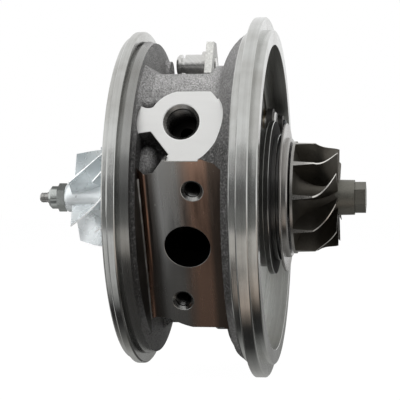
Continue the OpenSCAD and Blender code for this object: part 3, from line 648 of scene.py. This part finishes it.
class Finishes:
    """The finishes of this cartridge by what they are used for."""

    cast = CastSkin("cast_iron_skin", "cast_iron")
    # The lump takes less of the old oil and painted shade
    lump = CastSkin("cast_iron_lump", "cast_iron", oil=0.35)
    turned = TurnedMetal("turned_rim", "cast_iron", tint=(0.63, 0.64, 0.625))
    nose = TurnedMetal("turned_nose", "cast_iron", tint=(0.17, 0.17, 0.168), roughness=0.22)
    cavity = TurnedMetal(
        "turned_cavity", "cast_iron", tint=(0.60, 0.61, 0.595), roughness=0.32, stain=0.15
    )
    drain = MilledFace("milled_drain_face", "cast_iron")
    pad = PadFace("milled_inlet_pad", "cast_iron")
    # Holes painted almost black: painted shade inside them
    bore = GrainMetal("shaded_bore", "cast_iron", tint=(0.05, 0.048, 0.045), roughness=0.4)
    # Wall beside the drain face, painted almost black: painted shade
    wall = GrainMetal("shaded_wall", "cast_iron", tint=(0.055, 0.05, 0.045), roughness=0.5)
    land = TurnedMetal("turned_land", "cast_iron", tint=(0.39, 0.395, 0.385), roughness=0.24)
    chamfer = TurnedMetal("turned_chamfer", "cast_iron", tint=(0.42, 0.42, 0.41), roughness=0.26)
    scale = GrainMetal(
        "scaled_face", "cast_iron", tint=(0.09, 0.089, 0.087), roughness=0.8,
        metallic=0.0, gloss=0.05,
    )
    pin = TurnedMetal("polished_pin", "steel", tint=(0.68, 0.68, 0.665), roughness=0.24, stain=0.1)
    steel = TurnedMetal("turned_steel", "steel", tint=(0.66, 0.66, 0.65), roughness=0.22)
    nut = GrainMetal(
        "burnished_nut", "steel", tint=(0.60, 0.63, 0.61), roughness=0.16, depth=0.008, spread=0.1
    )
    oily_pin = GrainMetal("oily_pin", "steel", tint=(0.10, 0.105, 0.108), roughness=0.45)
    sheet = TurnedMetal("pressed_sheet", "sheet_steel", tint=(0.45, 0.44, 0.425), roughness=0.28)
    dark = GrainMetal(
        "hardened_steel", "dark_steel", tint=(0.10, 0.097, 0.093), roughness=0.38, depth=0.02
    )
    alloy = GrainMetal(
        "cast_nickel_alloy", "nickel_alloy", tint=(0.14, 0.13, 0.112), roughness=0.48, depth=0.02
    )
    hub = GrainMetal(
        "blasted_hub", "nickel_alloy", tint=(0.21, 0.205, 0.18), roughness=0.5, depth=0.04
    )
    ground = GroundTip("ground_tip", "nickel_alloy")
    aluminium = BladeMetal("milled_aluminium", "aluminium")
    # Near-white, barely metallic leading edges and tips: a painted highlight along the blades
    edge = BladeMetal(
        "highlight_edge", "aluminium", tint=(0.95, 0.96, 0.96), roughness=0.35, metallic=0.2
    )
    bronze = TurnedMetal("turned_bronze", "bronze", tint=(0.60, 0.43, 0.21), roughness=0.3)
    rubber = Rubber("moulded_rubber", "rubber")
    plate = GrainMetal(
        "stamped_plate", "lever_steel", tint=(0.60, 0.60, 0.575), roughness=0.42,
        grain=1.6, depth=0.12, metallic=0.6,
    )


def dress(piece: Piece, finish: Finish) -> None:
    """Give a whole piece one finish."""
    piece.data.materials.clear()
    piece.data.materials.append(finish.material())


# Sub-assemblies


@dataclass
class Assembly:
    """Base of the sub-assemblies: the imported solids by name, and how pieces join them."""

    nodes: dict[str, Piece]

    def stand_in(
        self, node: str, name: str, body: str, finish: Finish, degrees: float = 30.0
    ) -> Piece:
        """Merged and smoothed copy of a solid that is shown in its place.

        Args:
            node: the solid's name.
            name: the new piece's name.
            body: the body that carries it.
            finish: the finish of the whole piece.
            degrees: edges sharper than this stay sharp.

        Returns:
            The new piece.
        """
        piece = node_copy(self.nodes[node], name)
        smooth(piece, degrees)
        dress(piece, finish)
        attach(piece, body)
        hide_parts(node)
        LOG.info("%s stands for %s", name, node)
        return piece

    def fix(self, piece: Piece, body: str, finish: Finish) -> None:
        """Dress a piece that has no solid and fix it to a body.

        Args:
            piece: the piece, at its place.
            body: the body that carries it.
            finish: the finish of the whole piece.
        """
        dress(piece, finish)
        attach(piece, body)
        LOG.info("%s fixed to %s", piece.name, body)


class RidgeSide(Enum):
    """Which way a thread's ridge stands from its wall."""

    INNER = -1
    OUTER = 1


@dataclass
class Thread:
    """A screw thread as one helical ridge on a wall."""

    name: str
    wall_r: float
    pitch: float
    turns: int
    side: RidgeSide
    depth: float = 0.35
    sunk: float = 0.12
    flank: float = 0.46
    steps: int = 40

    def build(self, place: Matrix, start: float) -> Piece:
        """Model the ridge.

        Args:
            place: frame of the thread, Z along its axis.
            start: height along Z where the ridge starts, in mm.

        Returns:
            The ridge as a mesh object at the origin.
        """
        deselect_all()
        bpy.ops.mesh.primitive_circle_add(vertices=3, fill_type="NGON")
        ridge = named(self.name)
        foot = self.wall_r - self.side.value * self.sunk
        crest = self.wall_r + self.side.value * self.depth
        reach = self.flank * self.pitch
        profile = ((foot, -reach), (crest, 0.0), (foot, reach))
        for vertex, (r, z) in zip(ridge.data.vertices, profile):
            vertex.co = (r * MM, 0, (start + z) * MM)
        screw = ridge.modifiers.new("helix", "SCREW")
        screw.axis = "Z"
        screw.iterations = self.turns
        screw.screw_offset = self.pitch * MM
        screw.steps = self.steps
        screw.render_steps = self.steps
        screw.use_merge_vertices = False
        apply_modifiers(ridge)
        with editing(ridge):
            bpy.ops.mesh.select_all(action="SELECT")
            bpy.ops.mesh.remove_doubles(threshold=0.5 * MERGE_MM * MM)
            bpy.ops.mesh.normals_make_consistent(inside=False)
        settle(ridge, place)
        smooth(ridge, SHARP_THREAD)
        return ridge


class Zone(Enum):
    """Parts of the housing's surface that were made in different ways."""

    CAST = 0
    TURNED = 1
    NOSE = 2
    CAVITY = 3
    DRAIN = 4
    PAD = 5
    BORE = 6
    WALL = 7
    LAND = 8
    CHAMFER = 9
    SCALE = 10

    @property
    def finish(self) -> Finish:
        """The finish that bears the zone's name."""
        return getattr(Finishes, self.name.lower())


@dataclass
class Housing(Assembly):
    """The bearing housing with its two flanges, oil faces, threads, burr and cast knobs.

    Limits of the zones are in mm: stations along the shaft, radii round the shaft, heights over the
    drain face, and for a hole its depth and its radius round its own axis.
    """

    pad_tilt: float = 16.5
    pad_distance: float = 43.6
    pad_up: float = 10.2
    pad_x: float = -21.85
    drain_tilt: float = -27.0
    drain_distance: float = 33.0
    drain_x: float = -21.6
    drain_pcd: float = 38.0
    drain_turn: float = 8.3
    land_x: float = -6.45
    flange_x: float = -35.75
    land_end: float = 72.0
    sharp: float = 28.0
    skin: Piece | None = field(default=None, init=False)

    EDGE_OF = {
        Zone.PAD: (0.16, Zone.PAD),
        Zone.TURNED: (0.12, Zone.TURNED),
        # The nose's rounds take the bright turned finish: a painted highlight along its dark edges
        Zone.NOSE: (0.14, Zone.TURNED),
        Zone.DRAIN: (0.1, Zone.TURNED),
    }
    ON_FACE, FACING = 0.05, 0.99
    MOUTH, FLAT_DEGREES = 0.1, 0.5
    INLET_CHAMFER, INLET_BORE = (-1.1, 5.8), (-40.0, 5.0)
    DRAIN_BORE = (-32.0, 9.2)
    BOLT_HOLE, BOLT_CHAMFER = (-13.0, 3.5), -0.9
    WALL_X, WALL_FACING = (-34.4, -31.7), 0.1
    WALL_FOOT, WALL_TOP, WALL_HALF = 2.51, 20.0, 30.0
    NOSE_X, NOSE_R, SCALE_FACING = -4.9, 25.0, 0.9
    CAVITY_X, CAVITY_R = 2.2, 48.4
    RIM_X, RIM_R, FLANGE_CORE_R = -39.05, 50.1, 20.0
    CORE_X, CORE_R = (-45.0, 6.0), 21.5
    THREAD_START = -10.5
    BURR_SIZE, BURR_LONG, BURR_CUTS = (0.4, 48.0, 0.5), 40.0, 40
    BURR_X, BURR_UP, BURR_RAGGED = -34.15, 2.5, 0.08
    KNOB_FOOT, KNOB_FLARE, KNOB_RAGGED = -0.15, 1.2, 0.09

    def pad_place(self) -> Matrix:
        """Frame on the inlet pad at its thread."""
        return face_place(self.pad_x, self.pad_tilt, self.pad_distance, self.pad_up)

    def drain_place(self) -> Matrix:
        """Frame on the drain face at the drain."""
        return face_place(self.drain_x, self.drain_tilt, self.drain_distance)

    def in_hole(self, spot: Vector, hole: Span) -> bool:
        """Whether a spot in a hole's own frame lies inside its depth and radius."""
        depth, radius = hole
        return depth < spot.z < self.MOUTH and math.hypot(spot.x, spot.y) < radius

    def oil_zone(self, centre: Vector, normal: Vector) -> Zone | None:
        """Say how a spot at the oil faces was made.

        Args:
            centre: the middle of a face.
            normal: the face's normal.

        Returns:
            The zone of the face, or None away from the oil faces.
        """
        pad, drain = self.pad_place(), self.drain_place()
        on_pad = pad.inverted() @ centre * PER_MM
        on_drain = drain.inverted() @ centre * PER_MM
        for place, spot, zone in ((pad, on_pad, Zone.PAD), (drain, on_drain, Zone.DRAIN)):
            if abs(spot.z) < self.ON_FACE and normal.dot(place.to_3x3().col[2]) > self.FACING:
                return zone
        if self.in_hole(on_pad, self.INLET_CHAMFER):
            return Zone.CHAMFER
        if self.in_hole(on_pad, self.INLET_BORE):
            return Zone.BORE
        low, high = self.WALL_X
        beside = low < centre.x * PER_MM < high and normal.x > self.WALL_FACING
        if beside and 0 < on_drain.z < self.WALL_TOP and abs(on_drain.y) < self.WALL_HALF:
            # Above the fillet the wall gets the painted shade
            return Zone.DRAIN if on_drain.z < self.WALL_FOOT else Zone.WALL
        if self.in_hole(on_drain, self.DRAIN_BORE):
            return Zone.BORE
        for side in (-1, 1):
            bolt = turned(-self.drain_turn, "Z") @ Vector((0, side * self.drain_pcd / 2, 0))
            if self.in_hole(on_drain - bolt, self.BOLT_HOLE):
                return Zone.CHAMFER if on_drain.z > self.BOLT_CHAMFER else Zone.BORE
        return None

    def turned_zone(self, centre: Vector, normal: Vector) -> Zone:
        """Say how a spot away from the oil faces was made.

        Args:
            centre: the middle of a face.
            normal: the face's normal.

        Returns:
            The zone of the face.
        """
        x, r = centre.x * PER_MM, radius_mm(centre)
        if x > self.land_x:
            if x > self.NOSE_X and r < self.NOSE_R:
                return Zone.SCALE if normal.x > self.SCALE_FACING else Zone.NOSE
            return Zone.CAVITY if x < self.CAVITY_X and r < self.CAVITY_R else Zone.TURNED
        if x < self.flange_x + self.ON_FACE and r > self.FLANGE_CORE_R:
            if x < self.RIM_X or r > self.RIM_R:
                return Zone.TURNED
            turn = math.degrees(math.atan2(centre.z, -centre.y))
            return Zone.CAST if turn > self.land_end else Zone.LAND
        low, high = self.CORE_X
        return Zone.BORE if low < x < high and r < self.CORE_R else Zone.CAST

    def build(self) -> None:
        """Copy the solid and sort its faces into zones."""
        self.skin = self.stand_in(
            "bearing_housing", "housing_casting", "housing", Finishes.cast, self.sharp
        )
        self.skin.data.materials.clear()
        for zone in Zone:
            self.skin.data.materials.append(zone.finish.material())
        for face in self.skin.data.polygons:
            spot = (face.center, face.normal)
            face.material_index = (self.oil_zone(*spot) or self.turned_zone(*spot)).value
        for zone, (width, look) in self.EDGE_OF.items():
            self.break_edges(zone, width, look)
        smooth(self.skin, self.sharp)

    def break_edges(self, zone: Zone, width: float, look: Zone) -> None:
        """Round the sharp edges of a machined zone so that they catch the light.

        Args:
            zone: the zone whose edges are rounded.
            width: how far the round reaches, in mm.
            look: the zone whose finish the rounds get.
        """
        flat = math.radians(self.FLAT_DEGREES)
        with editing(self.skin) as mesh:
            bpy.ops.mesh.select_all(action="SELECT")
            bpy.ops.mesh.dissolve_limited(angle_limit=flat, delimit={"MATERIAL"})
            bpy.ops.mesh.select_all(action="DESELECT")
            for edge in mesh.edges:
                faces = edge.link_faces
                worked = any(face.material_index == zone.value for face in faces)
                sharp = len(faces) == 2 and edge.calc_face_angle(0.0) > math.radians(self.sharp)
                edge.select_set(worked and sharp and edge.is_convex)
            bpy.ops.mesh.bevel(offset=width * MM, segments=2, material=look.value, loop_slide=True)

    def build_burr(self) -> None:
        """Bright ragged burr that the end mill left along the compressor flange."""
        deselect_all()
        bpy.ops.mesh.primitive_cube_add(size=1.0)
        burr = named("milled_burr")
        burr.scale = [size * MM for size in self.BURR_SIZE]
        settle(burr)
        with editing(burr) as mesh:
            for edge in mesh.edges:
                first, second = edge.verts
                edge.select_set(abs(first.co.y - second.co.y) > self.BURR_LONG * MM)
            bpy.ops.mesh.subdivide(number_cuts=self.BURR_CUTS)
            bpy.ops.mesh.select_all(action="SELECT")
            bpy.ops.transform.vertex_random(offset=self.BURR_RAGGED * MM, seed=4)
        settle(burr, face_place(self.BURR_X, self.drain_tilt, self.drain_distance + self.BURR_UP))
        smooth(burr, SHARP_BURR)
        self.fix(burr, "housing", Finishes.pad)

    def cast_knob(
        self, name: str, radii: Triple, place: Matrix, seed: int, finish: Finish = Finishes.cast
    ) -> None:
        """Model a rough rounded knob of the casting.

        Args:
            name: the piece's name.
            radii: its half sizes in its own frame, in mm.
            place: its frame.
            seed: start of the roughness.
            finish: its finish.
        """
        deselect_all()
        bpy.ops.mesh.primitive_uv_sphere_add(segments=48, ring_count=24, radius=MM)
        knob = named(name)
        knob.scale = radii
        settle(knob)
        with editing(knob) as mesh:
            for face in mesh.faces:
                if face.calc_center_median().z < self.KNOB_FOOT * radii[2] * MM:
                    face.select_set(True)
            flare = (self.KNOB_FLARE, self.KNOB_FLARE, 1.0)
            bpy.ops.transform.resize(value=flare, center_override=(0.0, 0.0, 0.0))
            bpy.ops.mesh.select_all(action="SELECT")
            bpy.ops.mesh.vertices_smooth(factor=0.5, repeat=3)
            bpy.ops.transform.vertex_random(offset=self.KNOB_RAGGED * MM, seed=seed)
            bpy.ops.mesh.vertices_smooth(factor=0.4)
        settle(knob, place)
        smooth(knob, SHARP_KNOB)
        self.fix(knob, "housing", finish)

    def build_knobs(self) -> None:
        """Pip above the lug, lump in the recess below it and the knob at the top of the flange."""
        pip = self.pad_place() @ shifted(-10.4, 6.2, -1.2)
        self.cast_knob("cast_pip", (2.3, 1.8, 1.6), pip, 2)
        lean = turned(-12, "X") @ turned(-8, "Z")
        lump = self.pad_place() @ shifted(-11.2, -10.5, -6.9) @ lean
        self.cast_knob("cast_lump", (3.7, 6.0, 3.6), lump, 3, Finishes.lump)
        bump = shifted(-34.4, 10.0, 40.0) @ turned(90, "Y")
        self.cast_knob("cast_bump", (4.5, 4.5, 1.75), bump, 5)

    def build_threads(self) -> None:
        """Threads of the oil inlet and of the two drain bolts."""
        inlet = Thread("oil_inlet_thread", 4.6, 1.0, 9, RidgeSide.INNER)
        self.fix(inlet.build(self.pad_place(), self.THREAD_START), "housing", Finishes.nose)
        spin = turned(-self.drain_turn, "Z")
        for name, side in (("upper", 1), ("lower", -1)):
            place = self.drain_place() @ spin @ shifted(0, side * self.drain_pcd / 2, 0)
            bolt = Thread(f"drain_bolt_thread_{name}", 2.5, 1.0, 9, RidgeSide.INNER, 0.3)
            self.fix(bolt.build(place, self.THREAD_START), "housing", Finishes.nose)


@dataclass
class InnerPieces(Assembly):
    """Pieces inside the housing that keep their solids."""

    def build(self) -> None:
        """Give each solid its finish."""
        for finish, nodes in (
            (Finishes.steel, ("seal_plate", "seal_sleeve", "thrust_collar")),
            (Finishes.rubber, ("seal_plate_o_ring",)),
            (Finishes.sheet, ("oil_deflector",)),
            (Finishes.bronze, ("thrust_bearing", "lever_bush")),
            (Finishes.bronze, ("compressor_journal_bearing", "turbine_journal_bearing")),
            (Finishes.dark, ("seal_plate_screws", "bearing_circlips")),
            (Finishes.dark, ("compressor_seal_ring", "turbine_seal_ring")),
        ):
            for node in nodes:
                dress(self.nodes[node], finish)
                LOG.info("%s dressed", node)


@dataclass
class TurbineEnd(Assembly):
    """Heat shield and turbine wheel."""

    back_x: float = 8.1
    blade_end_x: float = 22.1
    inlet_w: float = 7.0
    inlet_r: float = 17.8
    outlet_r: float = 15.4
    tip_power: float = 2.2
    hub_r: float = 6.0

    TIP_SLACK, END_SLACK, HUB_SLACK = 0.12, 0.05, 0.5

    def tip_r(self, x: float) -> float:
        """Radius of the blade tips at a station, in mm."""
        share = share_of(x, self.back_x + self.inlet_w, self.blade_end_x)
        return self.outlet_r + (self.inlet_r - self.outlet_r) * (1 - share) ** self.tip_power

    def is_tip(self, points: Sequence[Vector]) -> bool:
        """Whether all the corners of a face lie on the line that the tips were ground to."""
        low, high = self.back_x - self.END_SLACK, self.blade_end_x + self.END_SLACK
        return all(
            low < p.x * PER_MM < high
            and radius_mm(p) > self.tip_r(p.x * PER_MM) - self.TIP_SLACK
            for p in points
        )

    def build(self) -> None:
        """Shield and wheel, the wheel with ground tips and a blasted hub."""
        self.stand_in("heat_shield", "heat_shield_pressing", "housing", Finishes.sheet)
        wheel = self.stand_in(
            "turbine_wheel", "turbine_wheel_casting", "rotor", Finishes.alloy, SHARP_CASTING
        )
        wheel.data.materials.append(Finishes.ground.material())
        wheel.data.materials.append(Finishes.hub.material())
        hub_x = self.blade_end_x - self.HUB_SLACK
        for face in wheel.data.polygons:
            if self.is_tip([wheel.data.vertices[i].co for i in face.vertices]):
                face.material_index = 1
            elif face.center.x * PER_MM > hub_x and radius_mm(face.center) < self.hub_r:
                face.material_index = 2


@dataclass
class CompressorEnd(Assembly):
    """Compressor wheel, nut and the threaded end of the shaft."""

    tip_r: float = 1.52
    tip_x: float = -72.9
    inlet_x: float = -62.3
    outlet_x: float = -46.2
    inlet_r: float = 14.3
    outlet_r: float = 20.0
    shroud_power: float = 1.42

    TIP_SLACK, END_SLACK = 0.25, 0.1
    LEAD_FACING, LEAD_R, LEAD_X = -0.8, 5.6, -55.0

    def is_tip(self, points: Sequence[Vector]) -> bool:
        """Whether all the corners of a face lie on the line that the blade tips were milled to."""
        for p in points:
            x = p.x * PER_MM
            share = share_of(x, self.inlet_x, self.outlet_x)
            line = self.inlet_r + (self.outlet_r - self.inlet_r) * share**self.shroud_power
            if x > self.outlet_x + self.END_SLACK or radius_mm(p) < line - self.TIP_SLACK:
                return False
        return True

    def is_lead(self, face: bpy.types.MeshPolygon) -> bool:
        """Whether a face belongs to the edges that meet the air first."""
        outside = radius_mm(face.center) > self.LEAD_R and face.center.x * PER_MM < self.LEAD_X
        return outside and face.normal.x < self.LEAD_FACING

    def build(self) -> None:
        """Wheel, nut and shaft with the turns of thread ahead of the nut."""
        wheel = self.stand_in(
            "compressor_wheel", "compressor_wheel_milling", "rotor", Finishes.aluminium, SHARP_PLATE
        )
        # Leading edges and blade tips take the painted highlight
        wheel.data.materials.append(Finishes.edge.material())
        for face in wheel.data.polygons:
            points = [wheel.data.vertices[i].co for i in face.vertices]
            if self.is_lead(face) or self.is_tip(points):
                face.material_index = 1
        self.stand_in(
            "compressor_nut", "compressor_nut_hexagon", "rotor", Finishes.nut, SHARP_TURNED
        )
        self.stand_in("rotor_shaft", "rotor_shaft_turning", "rotor", Finishes.steel, SHARP_TURNED)
        ridge = Thread("shaft_tip_thread", self.tip_r, 0.5, 3, RidgeSide.OUTER, 0.16)
        self.fix(ridge.build(turned(-90, "Y"), -self.tip_x), "rotor", Finishes.steel)


@dataclass
class Lever(Assembly):
    """Nozzle lever with its pin, and the crank that it turns in the cavity."""

    edge: float = 0.25
    flat: float = 1.0
    sharp: float = 50.0

    def build(self) -> None:
        """Lever, pin, spindle, crank and roller."""
        plate = self.stand_in("lever_arm", "lever_plate", "lever", Finishes.plate, SHARP_PLATE)
        self.soften(plate)
        self.stand_in("lever_pin", "lever_pin_turning", "lever", Finishes.pin, SHARP_TURNED)
        self.stand_in("lever_spindle", "lever_spindle_rivet", "lever", Finishes.steel, SHARP_TURNED)
        crank = self.stand_in("crank_arm", "crank_plate", "lever", Finishes.dark, SHARP_PLATE)
        self.soften(crank)
        self.stand_in("crank_pin", "crank_pin_turning", "lever", Finishes.oily_pin, SHARP_TURNED)
        self.stand_in("crank_roller", "crank_roller_turning", "roller", Finishes.dark, SHARP_TURNED)

    def soften(self, plate: Piece) -> None:
        """Round the edges of a stamped plate."""
        with editing(plate):
            bpy.ops.mesh.select_all(action="SELECT")
            bpy.ops.mesh.dissolve_limited(angle_limit=math.radians(self.flat))
        bevel = plate.modifiers.new("edges", "BEVEL")
        bevel.width = self.edge * MM
        bevel.segments = 3
        bevel.limit_method = "ANGLE"
        bevel.angle_limit = math.radians(self.sharp)
        apply_modifiers(plate)
        smooth(plate, SHARP_PLATE)


# Studio


@dataclass
class Studio:
    """Room, floor, lamps, flags and the camera."""

    floor_z: float = -57.3
    lens: float = 133.7
    camera_mm: Triple = (52.21, -470.8, -0.84)
    camera_turn: float = 9.005
    sensor: float = 36.0
    room_light: float = 0.08
    paper: Colour = (0.40, 0.395, 0.39)
    paper_glow: float = 1.07
    paper_share: float = 0.93

    NEAR, FAR, WIDE = 900.0, -600.0, 700.0

    def build(self) -> None:
        """Set up everything round the object."""
        self.world()
        self.floor()
        self.lamps()
        self.flags()
        self.camera()
        bpy.context.scene.view_settings.view_transform = "Standard"

    def world(self) -> None:
        """White room to the eye and in mirrors, soft light on the object."""
        world = bpy.data.worlds.new("studio")
        bpy.context.scene.world = world
        world.use_nodes = True
        tree = NodeTree(world.node_tree, "ShaderNodeOutputWorld")
        light, white = (
            tree.node("ShaderNodeBackground", {"Color": WHITE, "Strength": strength})
            for strength in (self.room_light, 1.0)
        )
        tree.blend(tree.seen(), light, white)

    def floor(self) -> None:
        """Pale floor that keeps the object's shadow."""
        deselect_all()
        bpy.ops.mesh.primitive_plane_add(size=8.0, location=(0, 0, self.floor_z * MM))
        floor = named("studio_floor")
        shader = Shader("pale_floor")
        paper = shader.node("ShaderNodeBsdfDiffuse", {"Color": self.paper})
        glow = shader.node("ShaderNodeEmission", {"Strength": self.paper_glow})
        shader.blend(shader.math("MULTIPLY", shader.seen(), self.paper_share), paper, glow)
        floor.data.materials.append(shader.material)

    def lamp(self, name: str, place: Vector, aim: Vector, size: Span, power: float) -> None:
        """Add one softbox.

        Args:
            name: the lamp's name.
            place: where it hangs, in metres.
            aim: the point it faces, in metres.
            size: width and height, in metres.
            power: power in watts.
        """
        deselect_all()
        turn = (aim - place).to_track_quat("-Z", "Y").to_euler()
        bpy.ops.object.light_add(type="AREA", location=place, rotation=turn)
        lamp = named(name)
        lamp.data.shape = "RECTANGLE"
        lamp.data.size, lamp.data.size_y = size
        lamp.data.energy = power
        lamp.visible_glossy = False

    def lamps(self) -> None:
        """Large softbox overhead, a weaker one at the front left and a small one at the wheel."""
        middle = Vector((-0.02, 0, 0))
        wheel = Vector((-0.055, 0, 0))
        self.lamp("softbox_top", Vector((-0.05, -0.30, 0.75)), middle, (1.1, 0.8), 11.0)
        self.lamp("softbox_left", Vector((-0.8, -0.6, 0.35)), middle, (0.5, 0.7), 2.0)
        self.lamp("softbox_wheel", Vector((-0.34, -0.22, 0.04)), wheel, (0.15, 0.15), 0.5)

    def flag(self, name: str, corners: Sequence[Triple], stops: Stops) -> None:
        """Card that only mirrors see, with a run of tones along Y.

        Args:
            name: the card's name.
            corners: its four corners in mm, in order.
            stops: how bright it looks in a mirror at each station along Y, in mm.
        """
        deselect_all()
        bpy.ops.mesh.primitive_plane_add(size=1.0)
        card = named(name)
        order = (0, 1, 3, 2)
        for index, corner in zip(order, corners):
            card.data.vertices[index].co = Vector(corner) * MM
        shader = Shader(name + "_card")
        tone = shader.stations(shader.axis("Y"), stops)
        shader.show(shader.node("ShaderNodeEmission", {"Color": tone}))
        card.data.materials.append(shader.material)
        for rays in ("camera", "diffuse", "shadow", "transmission"):
            setattr(card, f"visible_{rays}", False)

    def flags(self) -> None:
        """Cards under, before and above the object that shade what its metal mirrors."""
        z = self.floor_z + 0.5
        self.floor_flags(z)
        self.front_flags(z)
        self.nut_flag()

    def floor_flags(self, z: float) -> None:
        """Cards on the floor at a height in mm, each for what stands over it."""
        near, far = self.NEAR, self.FAR
        shade, haze, glow = grey(0.03), (0.44, 0.44, 0.43), (0.70, 0.67, 0.64)
        ground, back = (0.20, 0.20, 0.195), (0.28, 0.28, 0.275)
        nut = (
            (-158, grey(0.62)), (-92, grey(0.40)), (-64, grey(0.10)), (-40, grey(0.16)),
            (-16, grey(0.60)), (20, back),
        )
        compressor_rim = (
            (-158, grey(0.70)), (-92, grey(0.68)), (-58, grey(0.50)), (-44, shade), (-34, shade),
            (-14, haze), (20, back),
        )
        middle = (
            (-158, glow), (-100, (0.66, 0.63, 0.60)), (-86, (0.058, 0.057, 0.055)),
            (-56, (0.07, 0.068, 0.066)), (-34, (0.1, 0.098, 0.095)), (10, grey(0.07)), (30, back),
        )
        turbine_rim = (
            (-158, glow), (-92, glow), (-56, (0.66, 0.56, 0.49)), (-46, shade), (-32, shade),
            (-12, haze), (20, back),
        )
        nut_x, rim_x, bell_x = -74, -38, -9
        for name, x0, x1, tones in (
            ("flag_nut_side", -self.WIDE, nut_x, nut),
            ("flag_compressor_side", nut_x, rim_x, compressor_rim),
            ("flag_middle", rim_x, bell_x, middle),
            ("flag_turbine_side", bell_x, self.WIDE, turbine_rim),
        ):
            corners = ((x0, near, z), (x1, near, z), (x1, far, z), (x0, far, z))
            self.flag(name, corners, ((far, ground), (-172, ground), *tones, (near, back)))

    def front_flags(self, z: float) -> None:
        """Cards before the object that stand on a height in mm and lean a little towards it."""
        low, high, lean = 130, 330, 40
        start, end = self.FAR, self.FAR + lean
        dull, dusk = ((z, grey(0.6)), (low, grey(0.6))), ((z, grey(0.15)), (low, grey(0.15)))
        rise = (
            (z, grey(0.11)), (40, grey(0.14)), (129, grey(0.27)), (274, grey(0.37)),
            (high, grey(0.40)),
        )
        nut_x, left_x, pad_x = -215, -140, -90
        for name, x0, x1, tones in (
            ("flag_front_nut", -self.WIDE, nut_x, dull),
            ("flag_front_left", nut_x, left_x, rise),
            ("flag_front_pad", left_x, pad_x, dusk),
            ("flag_front", pad_x, self.WIDE, rise),
        ):
            top = tones[-1][0]
            corners = ((x0, start, z), (x1, start, z), (x1, end, top), (x0, end, top))
            stops = tuple((start + lean * (at - z) / (top - z), tone) for at, tone in tones)
            self.flag(name, corners, stops)

    def nut_flag(self) -> None:
        """Card above the nut that darkens the top of it."""
        x0, x1, start, end, z = -130, -76, -3, 160, 45
        corners = ((x0, end, z), (x1, end, z), (x1, start, z), (x0, start, z))
        stops = ((start, grey(0.40)), (20, grey(0.20)), (end, grey(0.20)))
        self.flag("flag_nut_top", corners, stops)

    def camera(self) -> None:
        """Camera at the photograph's place."""
        deselect_all()
        bpy.ops.object.camera_add(
            location=Vector(self.camera_mm) * MM,
            rotation=(math.radians(90), 0, math.radians(self.camera_turn)),
        )
        camera = named("studio_camera")
        camera.data.lens = self.lens
        camera.data.sensor_width = self.sensor
        camera.data.clip_start = 0.01
        bpy.context.scene.camera = camera


def main() -> None:
    """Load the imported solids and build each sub-assembly round them."""
    logging.basicConfig(level=logging.INFO, format="%(name)s: %(message)s")
    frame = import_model()
    nodes = frame["nodes"]
    housing = Housing(nodes)
    housing.build()
    housing.build_threads()
    housing.build_burr()
    housing.build_knobs()
    InnerPieces(nodes).build()
    TurbineEnd(nodes).build()
    CompressorEnd(nodes).build()
    Lever(nodes).build()
    Studio().build()
    deselect_all()


if __name__ == "__main__":
    main()
